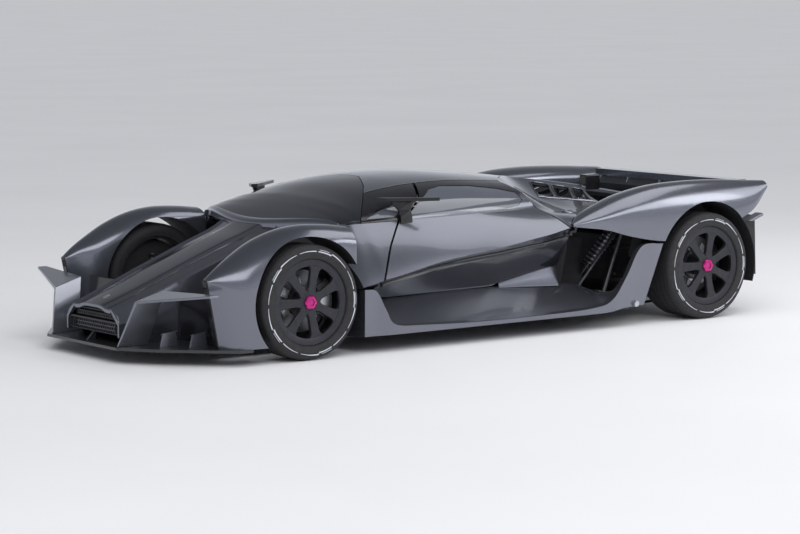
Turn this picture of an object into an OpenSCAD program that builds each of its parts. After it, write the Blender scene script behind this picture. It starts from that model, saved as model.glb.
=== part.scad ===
// Electric hypercar: open-wheeled nose, pontoon fenders, bubble canopy, rear-hinged doors.
// Frame: +X forward, +Y to the car's left, +Z up, origin on the ground under the middle of the car.

/* [Main sizes] */
// Distance between the axles
wheelbase = 3200; // [3100:10:3300]
// Front axle, ahead of the origin
front_axle_x = 1390; // [1370:5:1410]
// Height of the front tyres' side walls over the rim's seat
sidewall_f = 88; // [80:1:94]
// Height of the rear tyres' side walls over the rim's seat
sidewall_r = 93; // [84:1:100]
// Front tyre width
tyre_f_w = 255; // [235:5:265]
// Rear tyre width
tyre_r_w = 325; // [295:5:335]
// Outer face of the tyres from the centre plane
tyre_out_y = 1022; // [1010:1:1026]

/* [Body] */
// Room between the front tyres and their arches
arch_gap_f = 46; // [40:1:52]
// Room between the rear tyres and their arches
arch_gap_r = 75; // [50:1:85]
// Gap between neighbouring panels
panel_gap = 6; // [4:0.5:8]
// Thickness of the canopy skin
skin_t = 22; // [16:1:28]
// Thickness of a door below the belt line
door_t = 70; // [50:5:80]
// Thickness of the glass
glass_t = 6; // [4:0.5:8]
// Seat gap between fixed pieces
seat_gap = 0.3; // [0.2:0.1:0.5]

/* [Wheels] */
// Radius of the rim's seat
rim_r = 262; // [255:1:268]
// Number of spokes
spoke_count = 7; // [5:1:10]
// Brake disc radius
disc_r = 190; // [170:5:195]
// Brake disc thickness
disc_t = 34; // [28:1:38]

/* [Hidden] */
$fn = 64;

rear_axle_x = front_axle_x - wheelbase;
tyre_f_r = rim_r + sidewall_f;
tyre_r_r = rim_r + sidewall_r;
arch_f_r = tyre_f_r + arch_gap_f;
arch_r_r = tyre_r_r + arch_gap_r;
// The fenders' sections are drawn over tyres of these heights and rise with them.
drawn_crown_f = 700;
drawn_crown_r = 710;
rise_f = 2 * tyre_f_r - drawn_crown_f;
rise_r = 2 * tyre_r_r - drawn_crown_r;
// Behind the doors the stations are drawn for this place of the rear axle and move with it.
drawn_axle_x = -1810;
door_end_x = -700;
shift_r = rear_axle_x - drawn_axle_x;
function tail_share(x) = max(0, min(1, (door_end_x - x) / 500));
function back(x) = x + shift_r * tail_share(x);
wheel_f_y = tyre_out_y - tyre_f_w / 2;
wheel_r_y = tyre_out_y - tyre_r_w / 2;

// Curve and loft helpers

// One Catmull-Rom step between rows b and c, with neighbours a and d, at share t.
function cr(a, b, c, d, t) = 0.5 * ((2 * b) + (c - a) * t + (2 * a - 5 * b + 4 * c - d) * t * t
  + (3 * b - a - 3 * c + d) * t * t * t);
// Rows of a table made finer: k steps between each pair of rows, with natural ends.
function finer(rows, k) = let (n = len(rows)) [
  for (i = [0 : n - 2], j = [0 : k - 1])
    let (a = i > 0 ? rows[i - 1] : 2 * rows[0] - rows[1],
         d = i < n - 2 ? rows[i + 2] : 2 * rows[n - 1] - rows[n - 2])
    cr(a, rows[i], rows[i + 1], d, j / k),
  rows[n - 1]];
// Row of a table at station x, tables run from front to rear.
function at_x(rows, x) = let (
  last = len(rows) - 1,
  hit = [for (i = [0 : last - 1]) if (x <= rows[i][0] && x >= rows[i + 1][0]) i],
  i = len(hit) > 0 ? hit[0] : (x > rows[0][0] ? 0 : last - 1),
  t = (x - rows[i][0]) / (rows[i + 1][0] - rows[i][0]),
  a = i > 0 ? rows[i - 1] : 2 * rows[0] - rows[1],
  d = i < last - 1 ? rows[i + 2] : 2 * rows[last] - rows[last - 1])
  cr(a, rows[i], rows[i + 1], d, t);
// Quarter of an ellipse from p, upright there, to q, level there.
function rise(p, q, n) = [for (i = [0 : n]) let (a = 90 * i / n)
  [p.x + (q.x - p.x) * (1 - cos(a)), p.y + (q.y - p.y) * sin(a)]];
function reversed(list) = [for (i = [len(list) - 1 : -1 : 0]) list[i]];
function unit(v) = v / norm(v);

// Closed loft through rings of equal length, each running clockwise seen from before the first.
module loft(rings) {
  n = len(rings[0]);
  m = len(rings);
  sides = [for (i = [0 : m - 2], j = [0 : n - 1])
    let (a = i * n + j, b = i * n + (j + 1) % n, c = a + n, d = b + n) each [[a, d, b], [a, c, d]]];
  polyhedron(points = [for (r = rings) each r],
    faces = concat(sides, [[for (j = [0 : n - 1]) j]], [[for (j = [n - 1 : -1 : 0]) (m - 1) * n + j]]),
    convexity = 8);
}
// Thick panel: grid of outer points, set in by t square to the surface as seen along X.
module panel(grid, t) {
  m = len(grid);
  n = len(grid[0]);
  function normal(i, j) = let (v = cross(
    grid[min(i + 1, m - 1)][j] - grid[max(i - 1, 0)][j],
    grid[i][min(j + 1, n - 1)] - grid[i][max(j - 1, 0)])) unit([0, v.y, v.z]);
  outer = [for (i = [0 : m - 1], j = [0 : n - 1]) grid[i][j]];
  inner = [for (i = [0 : m - 1], j = [0 : n - 1]) grid[i][j] - t * normal(i, j)];
  k = m * n;
  quads = [for (i = [0 : m - 2], j = [0 : n - 2]) [i * n + j, i * n + j + 1, (i + 1) * n + j + 1, (i + 1) * n + j]];
  rim = concat([for (j = [0 : n - 2]) [j + 1, j]], [for (i = [0 : m - 2]) [i * n, (i + 1) * n]],
    [for (j = [0 : n - 2]) [(m - 1) * n + j, (m - 1) * n + j + 1]],
    [for (i = [m - 2 : -1 : 0]) [(i + 2) * n - 1, (i + 1) * n - 1]]);
  polyhedron(points = concat(outer, inner), convexity = 8, faces = concat(
    [for (q = quads) each [[q[0], q[1], q[2]], [q[0], q[2], q[3]]]],
    [for (q = quads) each [[q[0] + k, q[2] + k, q[1] + k], [q[0] + k, q[3] + k, q[2] + k]]],
    [for (e = rim) each [[e[0], e[1] + k, e[0] + k], [e[0], e[1], e[1] + k]]]));
}
module left_right() {
  children();
  mirror([0, 1, 0]) children();
}
module side(s) {
  mirror([0, s < 0 ? 1 : 0, 0]) children();
}
// Plate with its outline in the side view (x, z), from y0 to y1.
module side_plate(points, y0, y1) {
  translate([0, y1, 0]) rotate([90, 0, 0]) linear_extrude(y1 - y0) polygon(points);
}
// Plate with its outline in the plan view (x, y), from z0 to z1.
module plan_plate(points, z0, z1) {
  translate([0, 0, z0]) linear_extrude(z1 - z0) polygon(points);
}
module wheel_well(x, z, r, y0, y1) {
  translate([x, y0, z]) rotate([-90, 0, 0]) cylinder(r = r, h = y1 - y0, $fn = 72);
}

// Canopy surface: columns x, centre height, belt half width, belt height
CANOPY = [
  [1170, 772, 640, 770], [990, 852, 752, 772], [860, 905, 785, 772], [600, 975, 812, 771],
  [344, 1015, 820, 773], [0, 1026, 806, 776], [-350, 1003, 760, 780], [-680, 968, 690, 792],
  [-870, 944, 640, 800]];
canopy_n = 2.2; // exponent of the canopy's section
// Point on the canopy at station x and share s of the belt half width.
function canopy(x, s) = let (c = at_x(CANOPY, x))
  [x, c[2] * s, c[3] + (c[1] - c[3]) * pow(max(0, 1 - pow(abs(s), canopy_n)), 1 / canopy_n)];

// Body side below the belt: columns x, crease half width, crease height
CREASE = [
  [1000, 1004, 410], [830, 1004, 448], [400, 1000, 530], [-125, 985, 590], [-500, 962, 640],
  [-726, 940, 680]];
side_bulge = 16; // how far the body side bows out between belt and crease
// Point on the car's side: v from 0 at the cant rail, over 1 at the belt, to 2 at the crease.
cant_s = 0.60;
belt_s = 0.999;
// Share of the canopy's width at height share v, evenly spread over the curve.
function share(v) = cant_s + (belt_s - cant_s) * sin(90 * v);
function flank(x, v) = v <= 1 ? canopy(x, share(v))
  : let (c = at_x(CANOPY, x), k = at_x(CREASE, x), b = canopy(x, belt_s), t = v - 1,
         e = [x, k[1], k[2]])
    b + (e - b) * t + [0, side_bulge, side_bulge] * 4 * t * (1 - t) / 1.41;

// Shut lines of the door: columns height share v, front x, rear x
DOOR = [[0, 235, -470], [0.5, 368, -506], [1, 585, -560], [1.5, 722, -615], [2, 831, -672]];
shut_x = panel_gap + 5; // width of the door's slanted shut lines along X
// Door hinge: a point on its axis, the axis, and the radii of its eyes and pin
hinge = [-668, 938, 680];
hinge_dir = unit([0.1, -0.2, 0.97]);
hinge_eye_r = 11;
hinge_pin_r = 6;
// Children with Z along the hinge's axis, t above the hinge point.
module on_hinge(t) {
  translate(hinge + t * hinge_dir) rotate([0, acos(hinge_dir.z), atan2(hinge_dir.y, hinge_dir.x)]) children();
}
function door_front(v) = lookup(v, [for (r = DOOR) [r[0], r[1]]]);
function door_rear(v) = lookup(v, [for (r = DOOR) [r[0], r[2]]]);

// Sub-parts

floor_z = 82; // underside of the floor and the splitter
floor_t = 18;
floor_top = floor_z + floor_t;
tub_y = 690; // outer face of the tub's side walls
wall_t = 22;
split_x = 1650; // seam between splitter and floor
tail_x = -1500 + shift_r; // seam between floor and diffuser
sill_in_y = 770 + seat_gap;

module floor_pan() {
  color("#1b1c1f") plan_plate([
    [split_x - seat_gap, -600], [split_x - seat_gap, 600], [1000, 600], [985, 770], [back(-1330), 770],
    [back(-1350), 640], [tail_x, 640], [tail_x, -640], [back(-1350), -640], [back(-1330), -770], [985, -770], [1000, -600]],
    floor_z, floor_top);
}
module battery_pack() {
  color("#3a3d42") translate([-1180, -450, floor_top + seat_gap]) cube([540, 900, 440]);
}
module front_splitter() {
  color("#141518") plan_plate([
    [2400, -420], [2400, 420], [2250, 640], [1888, 1000], [1800, 1004], [1800, 600], [split_x, 600],
    [split_x, -600], [1800, -600], [1800, -1004], [1888, -1000], [2250, -640]], floor_z, floor_top);
}

// Nose sections: columns x, top height, ridge half width, shoulder half width, shoulder drop, side half width
NOSE = [
  [2316, 318, 120, 225, 16, 318], [2214, 358, 130, 240, 20, 330], [2050, 420, 135, 262, 24, 335],
  [1850, 500, 135, 280, 28, 335], [1650, 578, 135, 285, 30, 335], [1450, 655, 140, 290, 30, 335],
  [1290, 712, 148, 298, 30, 340], [1178, 760, 160, 320, 26, 350]];
nose_low = 140; // lower edge of the mouth's sides
function nose_ring(r) = let (half = concat([[0, 0]], [[0.6 * r[2], -1], [r[2], -4], [r[2] + 18, -20],
    [r[3] - 18, -20 - r[4] * 0.3], [r[3], -r[4] * 0.6], [r[3] + 22, -r[4] - 14]]))
  concat([for (p = reversed(half)) [r[0], -p.x, r[1] + p.y]],
    [for (i = [1 : len(half) - 1]) [r[0], half[i].x, r[1] + half[i].y]]);
function nose_full(r) = let (low = r[0] > 2200 ? nose_low : floor_top + seat_gap)
  concat([[r[0], -r[5], low], [r[0], -r[5], (low + r[1] - r[4]) / 2]], nose_ring(r),
    [[r[0], r[5], (low + r[1] - r[4]) / 2], [r[0], r[5], low]]);
// Half width of the nose's side at station x and height z.
function nose_side(x, z) = let (r = at_x(NOSE, x), mid = (floor_top + seat_gap + r[1] - r[4]) / 2,
  top = r[1] - r[4] - 14) z < mid ? r[5] : r[5] + (r[3] + 22 - r[5]) * (z - mid) / (top - mid);
module nose() {
  color("#7d818c") panel([for (r = finer(NOSE, 2)) reversed(nose_full(r))], 16);
}
module nose_grille() {
  difference() {
    color("#101113") translate([2230, 0, 0]) rotate([90, 0, 90]) linear_extrude(24)
      polygon([[-310.3, 150], [-310.3, 225], [-215, 282], [215, 282], [310.3, 225], [310.3, 150]]);
    for (k = [-1, 1]) translate([2254, 0, 192 + k * 34]) cube([24, 480, 44], center = true);
  }
}
module winglets() {
  color("#6e727d") left_right() {
    loft([
      [[2378, 407, floor_top + seat_gap], [2180, 427, floor_top + seat_gap],
        [2180, 413, floor_top + seat_gap], [2378, 393, floor_top + seat_gap]],
      [[2300, 498, 362], [2110, 506, 416], [2110, 494, 430], [2300, 484, 376]],
      [[2122, 1038, 432], [2060, 1038, 432], [2060, 1038, 446], [2122, 1038, 446]]]);
    for (f = [[2180, 560], [2060, 700]])
      side_plate([[f.x - 125, floor_top + seat_gap], [f.x - 110, 188], [f.x - 20, 178], [f.x, floor_top + seat_gap]],
        f.y, f.y + 8);
  }
}

// Front fender sections: columns x, lean, inner y, crest y, outer y, crest height, inner drop, outer drop
FENDER = [
  [2040, 84, 826, 852, 880, 520, 10, 12], [1965, 60, 796, 852, 950, 578, 60, 120],
  [1860, 30, 745, 848, 1000, 645, 110, 200], [1720, 8, 715, 846, 1018, 722, 120, 230],
  [1560, 0, 704, 846, 1022, 779, 110, 200], [1390, 0, 700, 848, 1022, 806, 90, 150],
  [1210, 0, 700, 850, 1020, 803, 80, 120], [1052, 0, 705, 848, 1010, 786, 70, 120]];
function fender_ring(r) = let (low = floor_top + seat_gap, top = r[5] + rise_f, h = top - low,
  inner = rise([r[2], top - r[6]], [r[3], top], 5),
  outer = rise([r[4], top - r[7]], [r[3], top], 6),
  arc = concat(inner, [for (i = [len(outer) - 2 : -1 : 0]) outer[i]]))
  concat([[r[0] - r[1], r[2], low]],
    [for (p = arc) [r[0] - r[1] * (top - p.y) / h, p.x, p.y]],
    [[r[0] - r[1], r[4] - 8, low]]);
module front_fender(s) {
  color("#7d818c") side(s) difference() {
    loft([for (r = finer(FENDER, 2)) fender_ring(r)]);
    wheel_well(front_axle_x, tyre_f_r, arch_f_r, 650, 1080);
    translate([1040, 650, 0]) cube([460, 420, 250]);
  }
}
module front_fender_left() {
  front_fender(1);
}
module front_fender_right() {
  front_fender(-1);
}
// Leading face of the front fender at height z.
function fender_face(z) = let (top = FENDER[0][5] + rise_f)
  FENDER[0][0] - FENDER[0][1] * (top - z) / (top - floor_top - seat_gap);
module headlamps() {
  color("#0c0d10") left_right() loft([for (z = [510, 110]) let (x = fender_face(z) + seat_gap)
    [[x, 826, z], [x, 872, z], [x + 5, 870, z], [x + 5, 828, z]]]);
}

// Outer edge of the ledge under the door at station x, tucked in behind the door's lower edge.
function ledge_edge(x) = let (e = flank(x, 2), b = flank(x, 1.8), d = unit([0, e.y - b.y, e.z - b.z]),
  n = [0, -d.z, d.y]) e - n * (door_t + 8) + [0, -10, -10];
bulk_x = -600; // front face of the rear bulkhead
bulk_t = 22;
// Height of the rear bulkhead under the skin at share s of the canopy.
function bulk_point(s) = let (c = canopy(bulk_x - bulk_t, s)) [c.y, c.z - skin_t - 0.7 - 240 * max(0, abs(s) - 0.28)];
module tub() {
  color("#1d1e22") {
    left_right() {
      translate([bulk_x, tub_y - wall_t, floor_top + seat_gap]) cube([1580, wall_t, 300]);
      translate([620, tub_y - wall_t, 390]) cube([360, wall_t, 337]);
      panel([for (x = [800, 600, 400, 100, -200, -500]) let (e = ledge_edge(x))
        [e, [x, (tub_y + e.y) / 2, 382 + (e.z - 382) * 0.5], [x, tub_y - 8, 382]]], 14);
    }
    translate([bulk_x - bulk_t, 0, 0]) rotate([90, 0, 90]) linear_extrude(bulk_t + 0.5) polygon(concat(
      [[tub_y, floor_top + seat_gap], [tub_y, 700]], [for (i = [9 : -1 : -9]) bulk_point(i / 10)],
      [[-tub_y, 700], [-tub_y, floor_top + seat_gap]]));
  }
}
cowl_x = 1168; // front face of the cowl
module scuttle() {
  color("#191a1d") {
    plan_plate([[cowl_x, -300], [cowl_x, 300], [1060, 590], [1000, 670], [840, 712], [840, 690],
      [960, 640], [960, -640], [840, -690], [840, -712], [1000, -670], [1060, -590]], 728, 746);
    left_right() plan_plate([[cowl_x, 296], [cowl_x, 270], [982, 560], [982, 586]], floor_top + seat_gap, 727.7);
    translate([cowl_x - 28, -270, floor_top + seat_gap]) cube([20, 540, 600]);
  }
}
// Front edge of the glass and the seam behind it, at share s of the canopy's width.
function glass_front(s) = 1150 - 150 * s * s;
function seam(s) = lookup(abs(s), [[0, 389], [0.13, 398], [0.43, 535], [0.7, 690], [belt_s, 862]]);
shares = [for (i = [-7 : 7]) belt_s * sin(90 * i / 7)];
// Inward direction on the canopy at station x and share s.
function canopy_in(x, s) = let (a = canopy(x, max(-belt_s, s - 0.01)), b = canopy(x, min(belt_s, s + 0.01)))
  unit([0, b.z - a.z, a.y - b.y]);
bow_w = 30; // reach of the bow to either side of the seam
bow_back = 8; // where the bow ends, ahead of the seam
strip_gap = 1.5; // room over the bow's rear strip, for the facets of the skins above it
module windscreen() {
  color("#15171b") panel([for (f = [0, 0.24, 0.48, 0.7, 0.87, 1]) [for (i = [14 : -1 : 0]) let (s = shares[i],
    a = glass_front(s), b = seam(s) + bow_w, x = a + (b - a) * f) canopy(x, s)],
    [for (i = [14 : -1 : 0]) canopy(seam(shares[i]) + panel_gap / 2, shares[i])]], glass_t);
}
// Bow under the seam, which carries the glass in front of it and the roof behind it.
module screen_frame() {
  color("#17181b") {
    panel([for (k = [0 : 1]) [for (i = [14 : -1 : 0]) let (s = shares[i], x = seam(s) + bow_w - (bow_w - bow_back) * k)
      canopy(x, s) + (glass_t + seat_gap) * canopy_in(x, s)]], 22);
    panel([for (k = [0 : 1]) [for (i = [14 : -1 : 0]) let (s = shares[i], x = seam(s) + 2 * bow_back - (bow_w + 2 * bow_back) * k)
      canopy(x, s) + (skin_t + strip_gap) * canopy_in(x, s)]], 12);
  }
}
// Rear edge of the roof at share s, running on into the door's rear shut line.
function roof_end(s) = lookup(abs(s), [[0, -866], [cant_s, -470]]);
module roof_panel() {
  color("#8a8e99") panel([for (k = [-1 : 8]) [for (i = [6 : -1 : -6]) let (s = cant_s * i / 6 * 0.985,
    a = seam(s) - bow_w, b = roof_end(s)) canopy(k < 0 ? seam(s) - panel_gap / 2 : a + (b - a) * k / 8, s)]], skin_t);
}
// Frame behind the glass seam, down to the belt, with the quarter light cut out.
quarter_outline = [[828, 802], [624, 802], [440, 898], [560, 882], [700, 846]];
function inset(points, d) = let (n = len(points), c = [
    for (k = [0 : 1]) [for (p = points) p[k]] * [for (i = [1 : n]) 1 / n]])
  [for (p = points) p + d * unit(c - p)];
module quarter_skin(t, lower) {
  panel([for (k = [-1 : 4]) [for (i = [6 : -1 : 0]) let (v = (i + 0.1) / 6.1, s = share(v), a = seam(s) - bow_w,
    b = door_front(v) + 2 * shut_x, x = k < 0 ? seam(s) - panel_gap / 2 : a + (b - a) * k / 4)
    canopy(x, s) + lower * canopy_in(x, s)]], t);
}
module quarter_panels() {
  color("#1b1d21") left_right() difference() {
    quarter_skin(skin_t, 0);
    side_plate(quarter_outline, 500, 900);
  }
}
module quarter_lights() {
  color("#3f444d") left_right() intersection() {
    quarter_skin(glass_t, 4);
    side_plate(inset(quarter_outline, 0.4), 500, 900);
  }
}
// Cheek between the arch and the door.
module cheeks() {
  color("#7d818c") left_right() difference() {
    panel([for (k = [0 : 4]) [for (i = [5 : -1 : 0]) let (v = 1.01 + 0.99 * i / 5,
      a = 1044, b = door_front(v) + 1.4 * shut_x) flank(a + (b - a) * k / 4, v)]], door_t);
    wheel_well(front_axle_x, tyre_f_r, arch_f_r, 650, 1080);
    translate([860, 700, 300]) cube([240, 400, 98.4]);
  }
}

// Door with its window
window_outline = [[566, 804], [120, 804], [-300, 806], [-410, 818], [-468, 850], [-458, 896], [-330, 926],
  [-120, 954], [100, 964], [215, 950], [340, 905]];
module door_skin(v0, v1, t, n, lower = 0) {
  panel([for (k = [0 : 8]) [for (i = [n : -1 : 0]) let (v = v0 + (v1 - v0) * i / n, a = door_front(v),
    b = door_rear(v), x = a + (b - a) * k / 8) flank(x, v) + (lower > 0 ? lower * canopy_in(x, share(v)) : [0, 0, 0])]], t);
}
// Eye under the door's rear corner that turns on the hinge pin.
module hinge_lug() {
  difference() {
    union() {
      on_hinge(-59) cylinder(r = hinge_eye_r, h = 12);
      translate([-668, 897, 621]) cube([26, 50, 9]);
    }
    on_hinge(-70) cylinder(r = hinge_pin_r + fit_gap, h = 40);
  }
}
module door(s) {
  color("#8a8e99") side(s) {
    hinge_lug();
    difference() {
      door_skin(0.02, 1, skin_t, 6);
      side_plate(window_outline, 300, 900);
      translate([499.7, 817.7, 752]) cube([90.6, 15.6, 60]);
    }
    difference() {
      door_skin(0.99, 2, door_t, 5);
      translate([499.7, 817.7, 752]) cube([90.6, 15.6, 60]);
    }
  }
}
module door_glass(s) {
  color("#3f444d") side(s) intersection() {
    door_skin(0.02, 1, glass_t, 6, 4);
    side_plate(inset(window_outline, 0.4), 300, 900);
  }
}
module door_left() {
  door(1);
}
module door_right() {
  door(-1);
}
module door_glass_left() {
  door_glass(1);
}
module door_glass_right() {
  door_glass(-1);
}
module mirror_arm() {
  color("#17181b") {
    loft([
      [[590, 832, 752.3], [500, 832, 752.3], [500, 818, 752.3], [590, 818, 752.3]],
      [[590, 832, 804], [505, 834, 804], [505, 822, 804], [590, 820, 804]],
      [[600, 820, 850], [520, 836, 850], [520, 826, 850], [600, 806, 850]],
      [[640, 790, 908], [500, 848, 908], [500, 838, 908], [640, 776, 908]]]);
    translate([0, 0, 904]) linear_extrude(20) polygon([[690, 716], [660, 790], [380, 952], [370, 930], [560, 770], [640, 716]]);
  }
}
module mirror_left() {
  mirror_arm();
}
module mirror_right() {
  side(-1) mirror_arm();
}

// Sill sections: columns x, lean, lip y, lip height, lip width, inner y, inner height, underside
SILL = [
  [985, 0, 1000, 395.7, 190, 770.3, 397.9, 90], [900, 0, 1003, 380, 160, 770.3, 386, 90],
  [835, 0, 1014, 260, 70, 770.3, 330, 90], [770, 0, 1019, 170, 24, 770.3, 304, 90],
  [560, 0, 1020, 150, 18, 770.3, 302, 90], [100, 0, 1020, 134, 18, 770.3, 312, 90],
  [-400, 0, 1020, 134, 18, 770.3, 306, 90], [-800, 0, 1020, 146, 20, 770.3, 290, 90],
  [-960, -10, 1020, 190, 28, 790, 240, 94], [-1070, -30, 1012, 340, 36, 850, 196, 110],
  [-1160, -70, 1004, 520, 42, 890, 176, 114], [-1240, -180, 1000, 528, 44, 900, 160, 118]];
function sill_ring(r) = let (x = back(r[0])) [
  [x, max(sill_in_y, r[5]), r[7]], [x + r[1] * 0.1, r[2] - 6, r[7] + 16],
  [x + r[1], r[2], r[3]], [x + r[1], r[2] - r[4], r[3] + 2],
  [x + r[1] * 0.3, (r[2] - r[4] + r[5]) / 2, (r[3] + r[6]) / 2 - (r[1] < -5 ? 0.25 * (r[3] - r[6]) : 0)],
  [x, max(sill_in_y, r[5]) + 2, r[6]]];
module side_sill(s) {
  color("#858994") side(s) loft([for (r = finer(SILL, 2)) reversed(sill_ring(r))]);
}
module side_sill_left() {
  side_sill(1);
}
module side_sill_right() {
  side_sill(-1);
}

// Rear fender sections: columns x, inner y, crest y, outer y, crest height, inner drop, outer drop,
// inner underside, outer underside
REAR = [
  [-706, 916, 924, 942, 696, 8, 12, 680, 674], [-806, 834, 868, 962, 742, 24, 50, 690, 662],
  [-960, 768, 856, 984, 796, 40, 90, 660, 640],
  [-1160, 724, 860, 1008, 858, 60, 130, 620, 586], [-1400, 704, 868, 1022, 903, 80, 180, 600, 546],
  [-1640, 700, 872, 1024, 918, 90, 200, 600, 546], [-1880, 702, 876, 1022, 918, 90, 200, 620, 560],
  [-2100, 712, 880, 1012, 909, 90, 180, 680, 650], [-2250, 724, 884, 992, 899, 80, 140, 700, 715],
  [-2400, 738, 888, 950, 890, 30, 40, 842, 838]];
function rear_ring(r) = let (
  x = back(r[0]), up = rise_r * tail_share(r[0]), top = r[4] + up,
  inner = rise([r[1], top - r[5]], [r[2], top], 5),
  outer = rise([r[3], top - r[6]], [r[2], top], 6),
  arc = concat(inner, [for (i = [len(outer) - 2 : -1 : 0]) outer[i]]))
  concat([[x, r[1], r[7] + up]], [for (p = arc) [x, p.x, p.y]], [[x, r[3] - 4, r[8] + up]]);
// Bracket and pin of the door hinge, under the fender's front tip.
module hinge_bracket() {
  side_plate([[-748, 690], [-716, 690], [-712, 652], [-672, 648], [-672, 638], [-722, 638]], 934, 942);
  on_hinge(-46) cylinder(r = hinge_eye_r, h = 10);
  on_hinge(-62) cylinder(r = hinge_pin_r, h = 20);
}
module rear_fender(s) {
  color("#8a8e99") side(s) {
    hinge_bracket();
    difference() {
      loft([for (r = finer(REAR, 2)) rear_ring(r)]);
      wheel_well(rear_axle_x, tyre_r_r, arch_r_r, 650, 1080);
    }
  }
}
module rear_fender_left() {
  rear_fender(1);
}
module rear_fender_right() {
  rear_fender(-1);
}

// Deck between the roof, the doors and the tail: rows from front to rear, each from the spine out.
function deck_edge(s) = canopy(roof_end(s) - shut_x, s);
DECK = [
  [deck_edge(0.07), deck_edge(0.25), deck_edge(0.43), deck_edge(cant_s),
    for (v = [0.5, 1, 1.5, 2]) flank(door_rear(v) - shut_x, v)],
  [[-960, 48, 929], [-930, 170, 868], [-890, 310, 812], [-860, 440, 783], [-840, 560, 762], [-825, 660, 746],
    [-815, 745, 738], [-808, 830, 728]],
  [[-1200, 46, 897], [-1190, 130, 838], [-1180, 250, 790], [-1175, 370, 760], [-1170, 480, 742],
    [-1165, 570, 730], [-1160, 640, 722], [-1160, 724, 716]],
  [[-1520, 40, 848], [-1510, 120, 792], [-1500, 230, 756], [-1490, 340, 738], [-1480, 450, 725],
    [-1470, 540, 715], [-1460, 620, 708], [-1450, 702, 702]]];
// Row with its outer end kept clear of the fender's inner face.
function to_fender(r) = [for (i = [0 : len(r) - 1]) [back(r[i].x), i == len(r) - 1 && r[i].x < door_end_x
  ? at_x(REAR, r[i].x)[1] - 5 : r[i].y, r[i].z]];
spine = [[-905, 44, 934, 900], [-1200, 42, 900, 866], [-1532, 34, 851, 815], [-1975, 24, 772, 748]];
module rear_deck() {
  color("#7d818c") {
    left_right() panel([for (r = finer(DECK, 3)) reversed(to_fender(r))], 14);
    loft([for (r = spine) let (x = back(r[0]))
      [[x, -r[1], r[3]], [x, -r[1], r[2] - 4], [x, 0, r[2]], [x, r[1], r[2] - 4], [x, r[1], r[3]]]]);
    translate([-1690 + shift_r, -38, 812]) cube([130, 76, 106]);
  }
}
// Inner frame that carries the tail: rails, cross beams and the post under the spine.
rail_y = 300;
beam_x = -1340 + shift_r;
tail_beam_x = -2178 + shift_r;
module rear_frame() {
  color("#2b2d31") {
    left_right() {
      translate([tail_beam_x + 14, rail_y, 600]) cube([bulk_x - bulk_t - seat_gap - tail_beam_x - 14, 34, 40]);
      for (x = [-1566, -2006]) translate([x + shift_r, rail_y, 230]) cube([32, 34, 380]);
      translate([tail_beam_x + 14, rail_y, 610]) cube([30, 34, 120]);
    }
    translate([beam_x, -707.6, 606]) cube([34, 1415.2, 30]);
    translate([tail_beam_x + 2, -714, 706]) cube([28, 1428, 26]);
    translate([beam_x, -16, 620]) cube([20, 32, 218]);
  }
}
module tail_wing() {
  color("#8a8e99") translate([shift_r, 0, 0]) plan_plate([[-2290, -727], [-2290, 727], [-2400, 737.6], [-2400, -737.6]], 840, 888);
}
// Front face of the tail panel at height z.
function tail_face(z) = tail_beam_x + 1.7 - (z - 706) * 0.1;
module tail_panel() {
  color("#16171a") {
    side_plate([[tail_face(420), 420], [tail_face(800), 800], [tail_face(800) - 14, 800], [tail_face(420) - 14, 420]],
      -690, 690);
    left_right() translate([shift_r, 0, 0]) {
      side_plate([[-2230, 690], [-2260, 250], [-2392, 244], [-2380, 640]], 838, 850);
      plan_plate([[-2250, 839], [-2250, 780], [-2396, 760], [-2396, 839]], 640, 650);
      plan_plate([[-2262, 839], [-2262, 640.3], [-2378, 640.3], [-2388, 839]], 284, 296);
    }
  }
}
module tail_lamp() {
  color("#b01018") side_plate([for (p = [[0, 752], [0, 768], [10, 768], [10, 752]])
    [tail_face(p.y) - 14.3 - p.x, p.y]], -640, 640);
}
module rear_diffuser() {
  color("#131417") {
    side_plate([[tail_x - seat_gap, floor_z], [tail_x - seat_gap, floor_top], [back(-1700), floor_top + 8],
      [back(-2380), 300], [back(-2380), 284], [back(-1700), floor_z + 8]], -640, 640);
    for (y = [-480, -160, 160, 480])
      translate([shift_r, 0, 0]) side_plate([[-1720, floor_z + 8], [-2380, 286], [-2380, 180], [-2000, 96]], y - 6, y + 6);
  }
}
module drive_unit() {
  color("#55585e") translate([-2010 + shift_r, -rail_y + seat_gap, 220]) cube([470, 2 * rail_y - 2 * seat_gap, 300]);
}

module seats() {
  color("#24262b") left_right() translate([0, 250, 0]) {
    side_plate([[300, 100.3], [300, 240], [120, 204], [-180, 180], [-330, 290], [-500, 690], [-560, 690],
      [-440, 250], [-400, 100.3]], -215, 215);
  }
}
module dashboard() {
  color("#1a1b1f") side_plate([[900, 690], [700, 700], [610, 670], [620, 560], [760, 560], [900, 640]],
    wall_t + seat_gap - tub_y, tub_y - wall_t - seat_gap);
}
module steering_wheel() {
  color("#141518") translate([470, 250, 560]) rotate([0, 68, 0]) {
    rotate_extrude($fn = 48) translate([150, 0]) circle(r = 14, $fn = 16);
    translate([0, 0, -6]) linear_extrude(12) polygon([[-12, -145], [40, -50], [40, 50], [-12, 145], [-60, 40], [-60, -40]]);
    cylinder(r = 26, h = 147.9, $fn = 32);
  }
}

// Running gear

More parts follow.
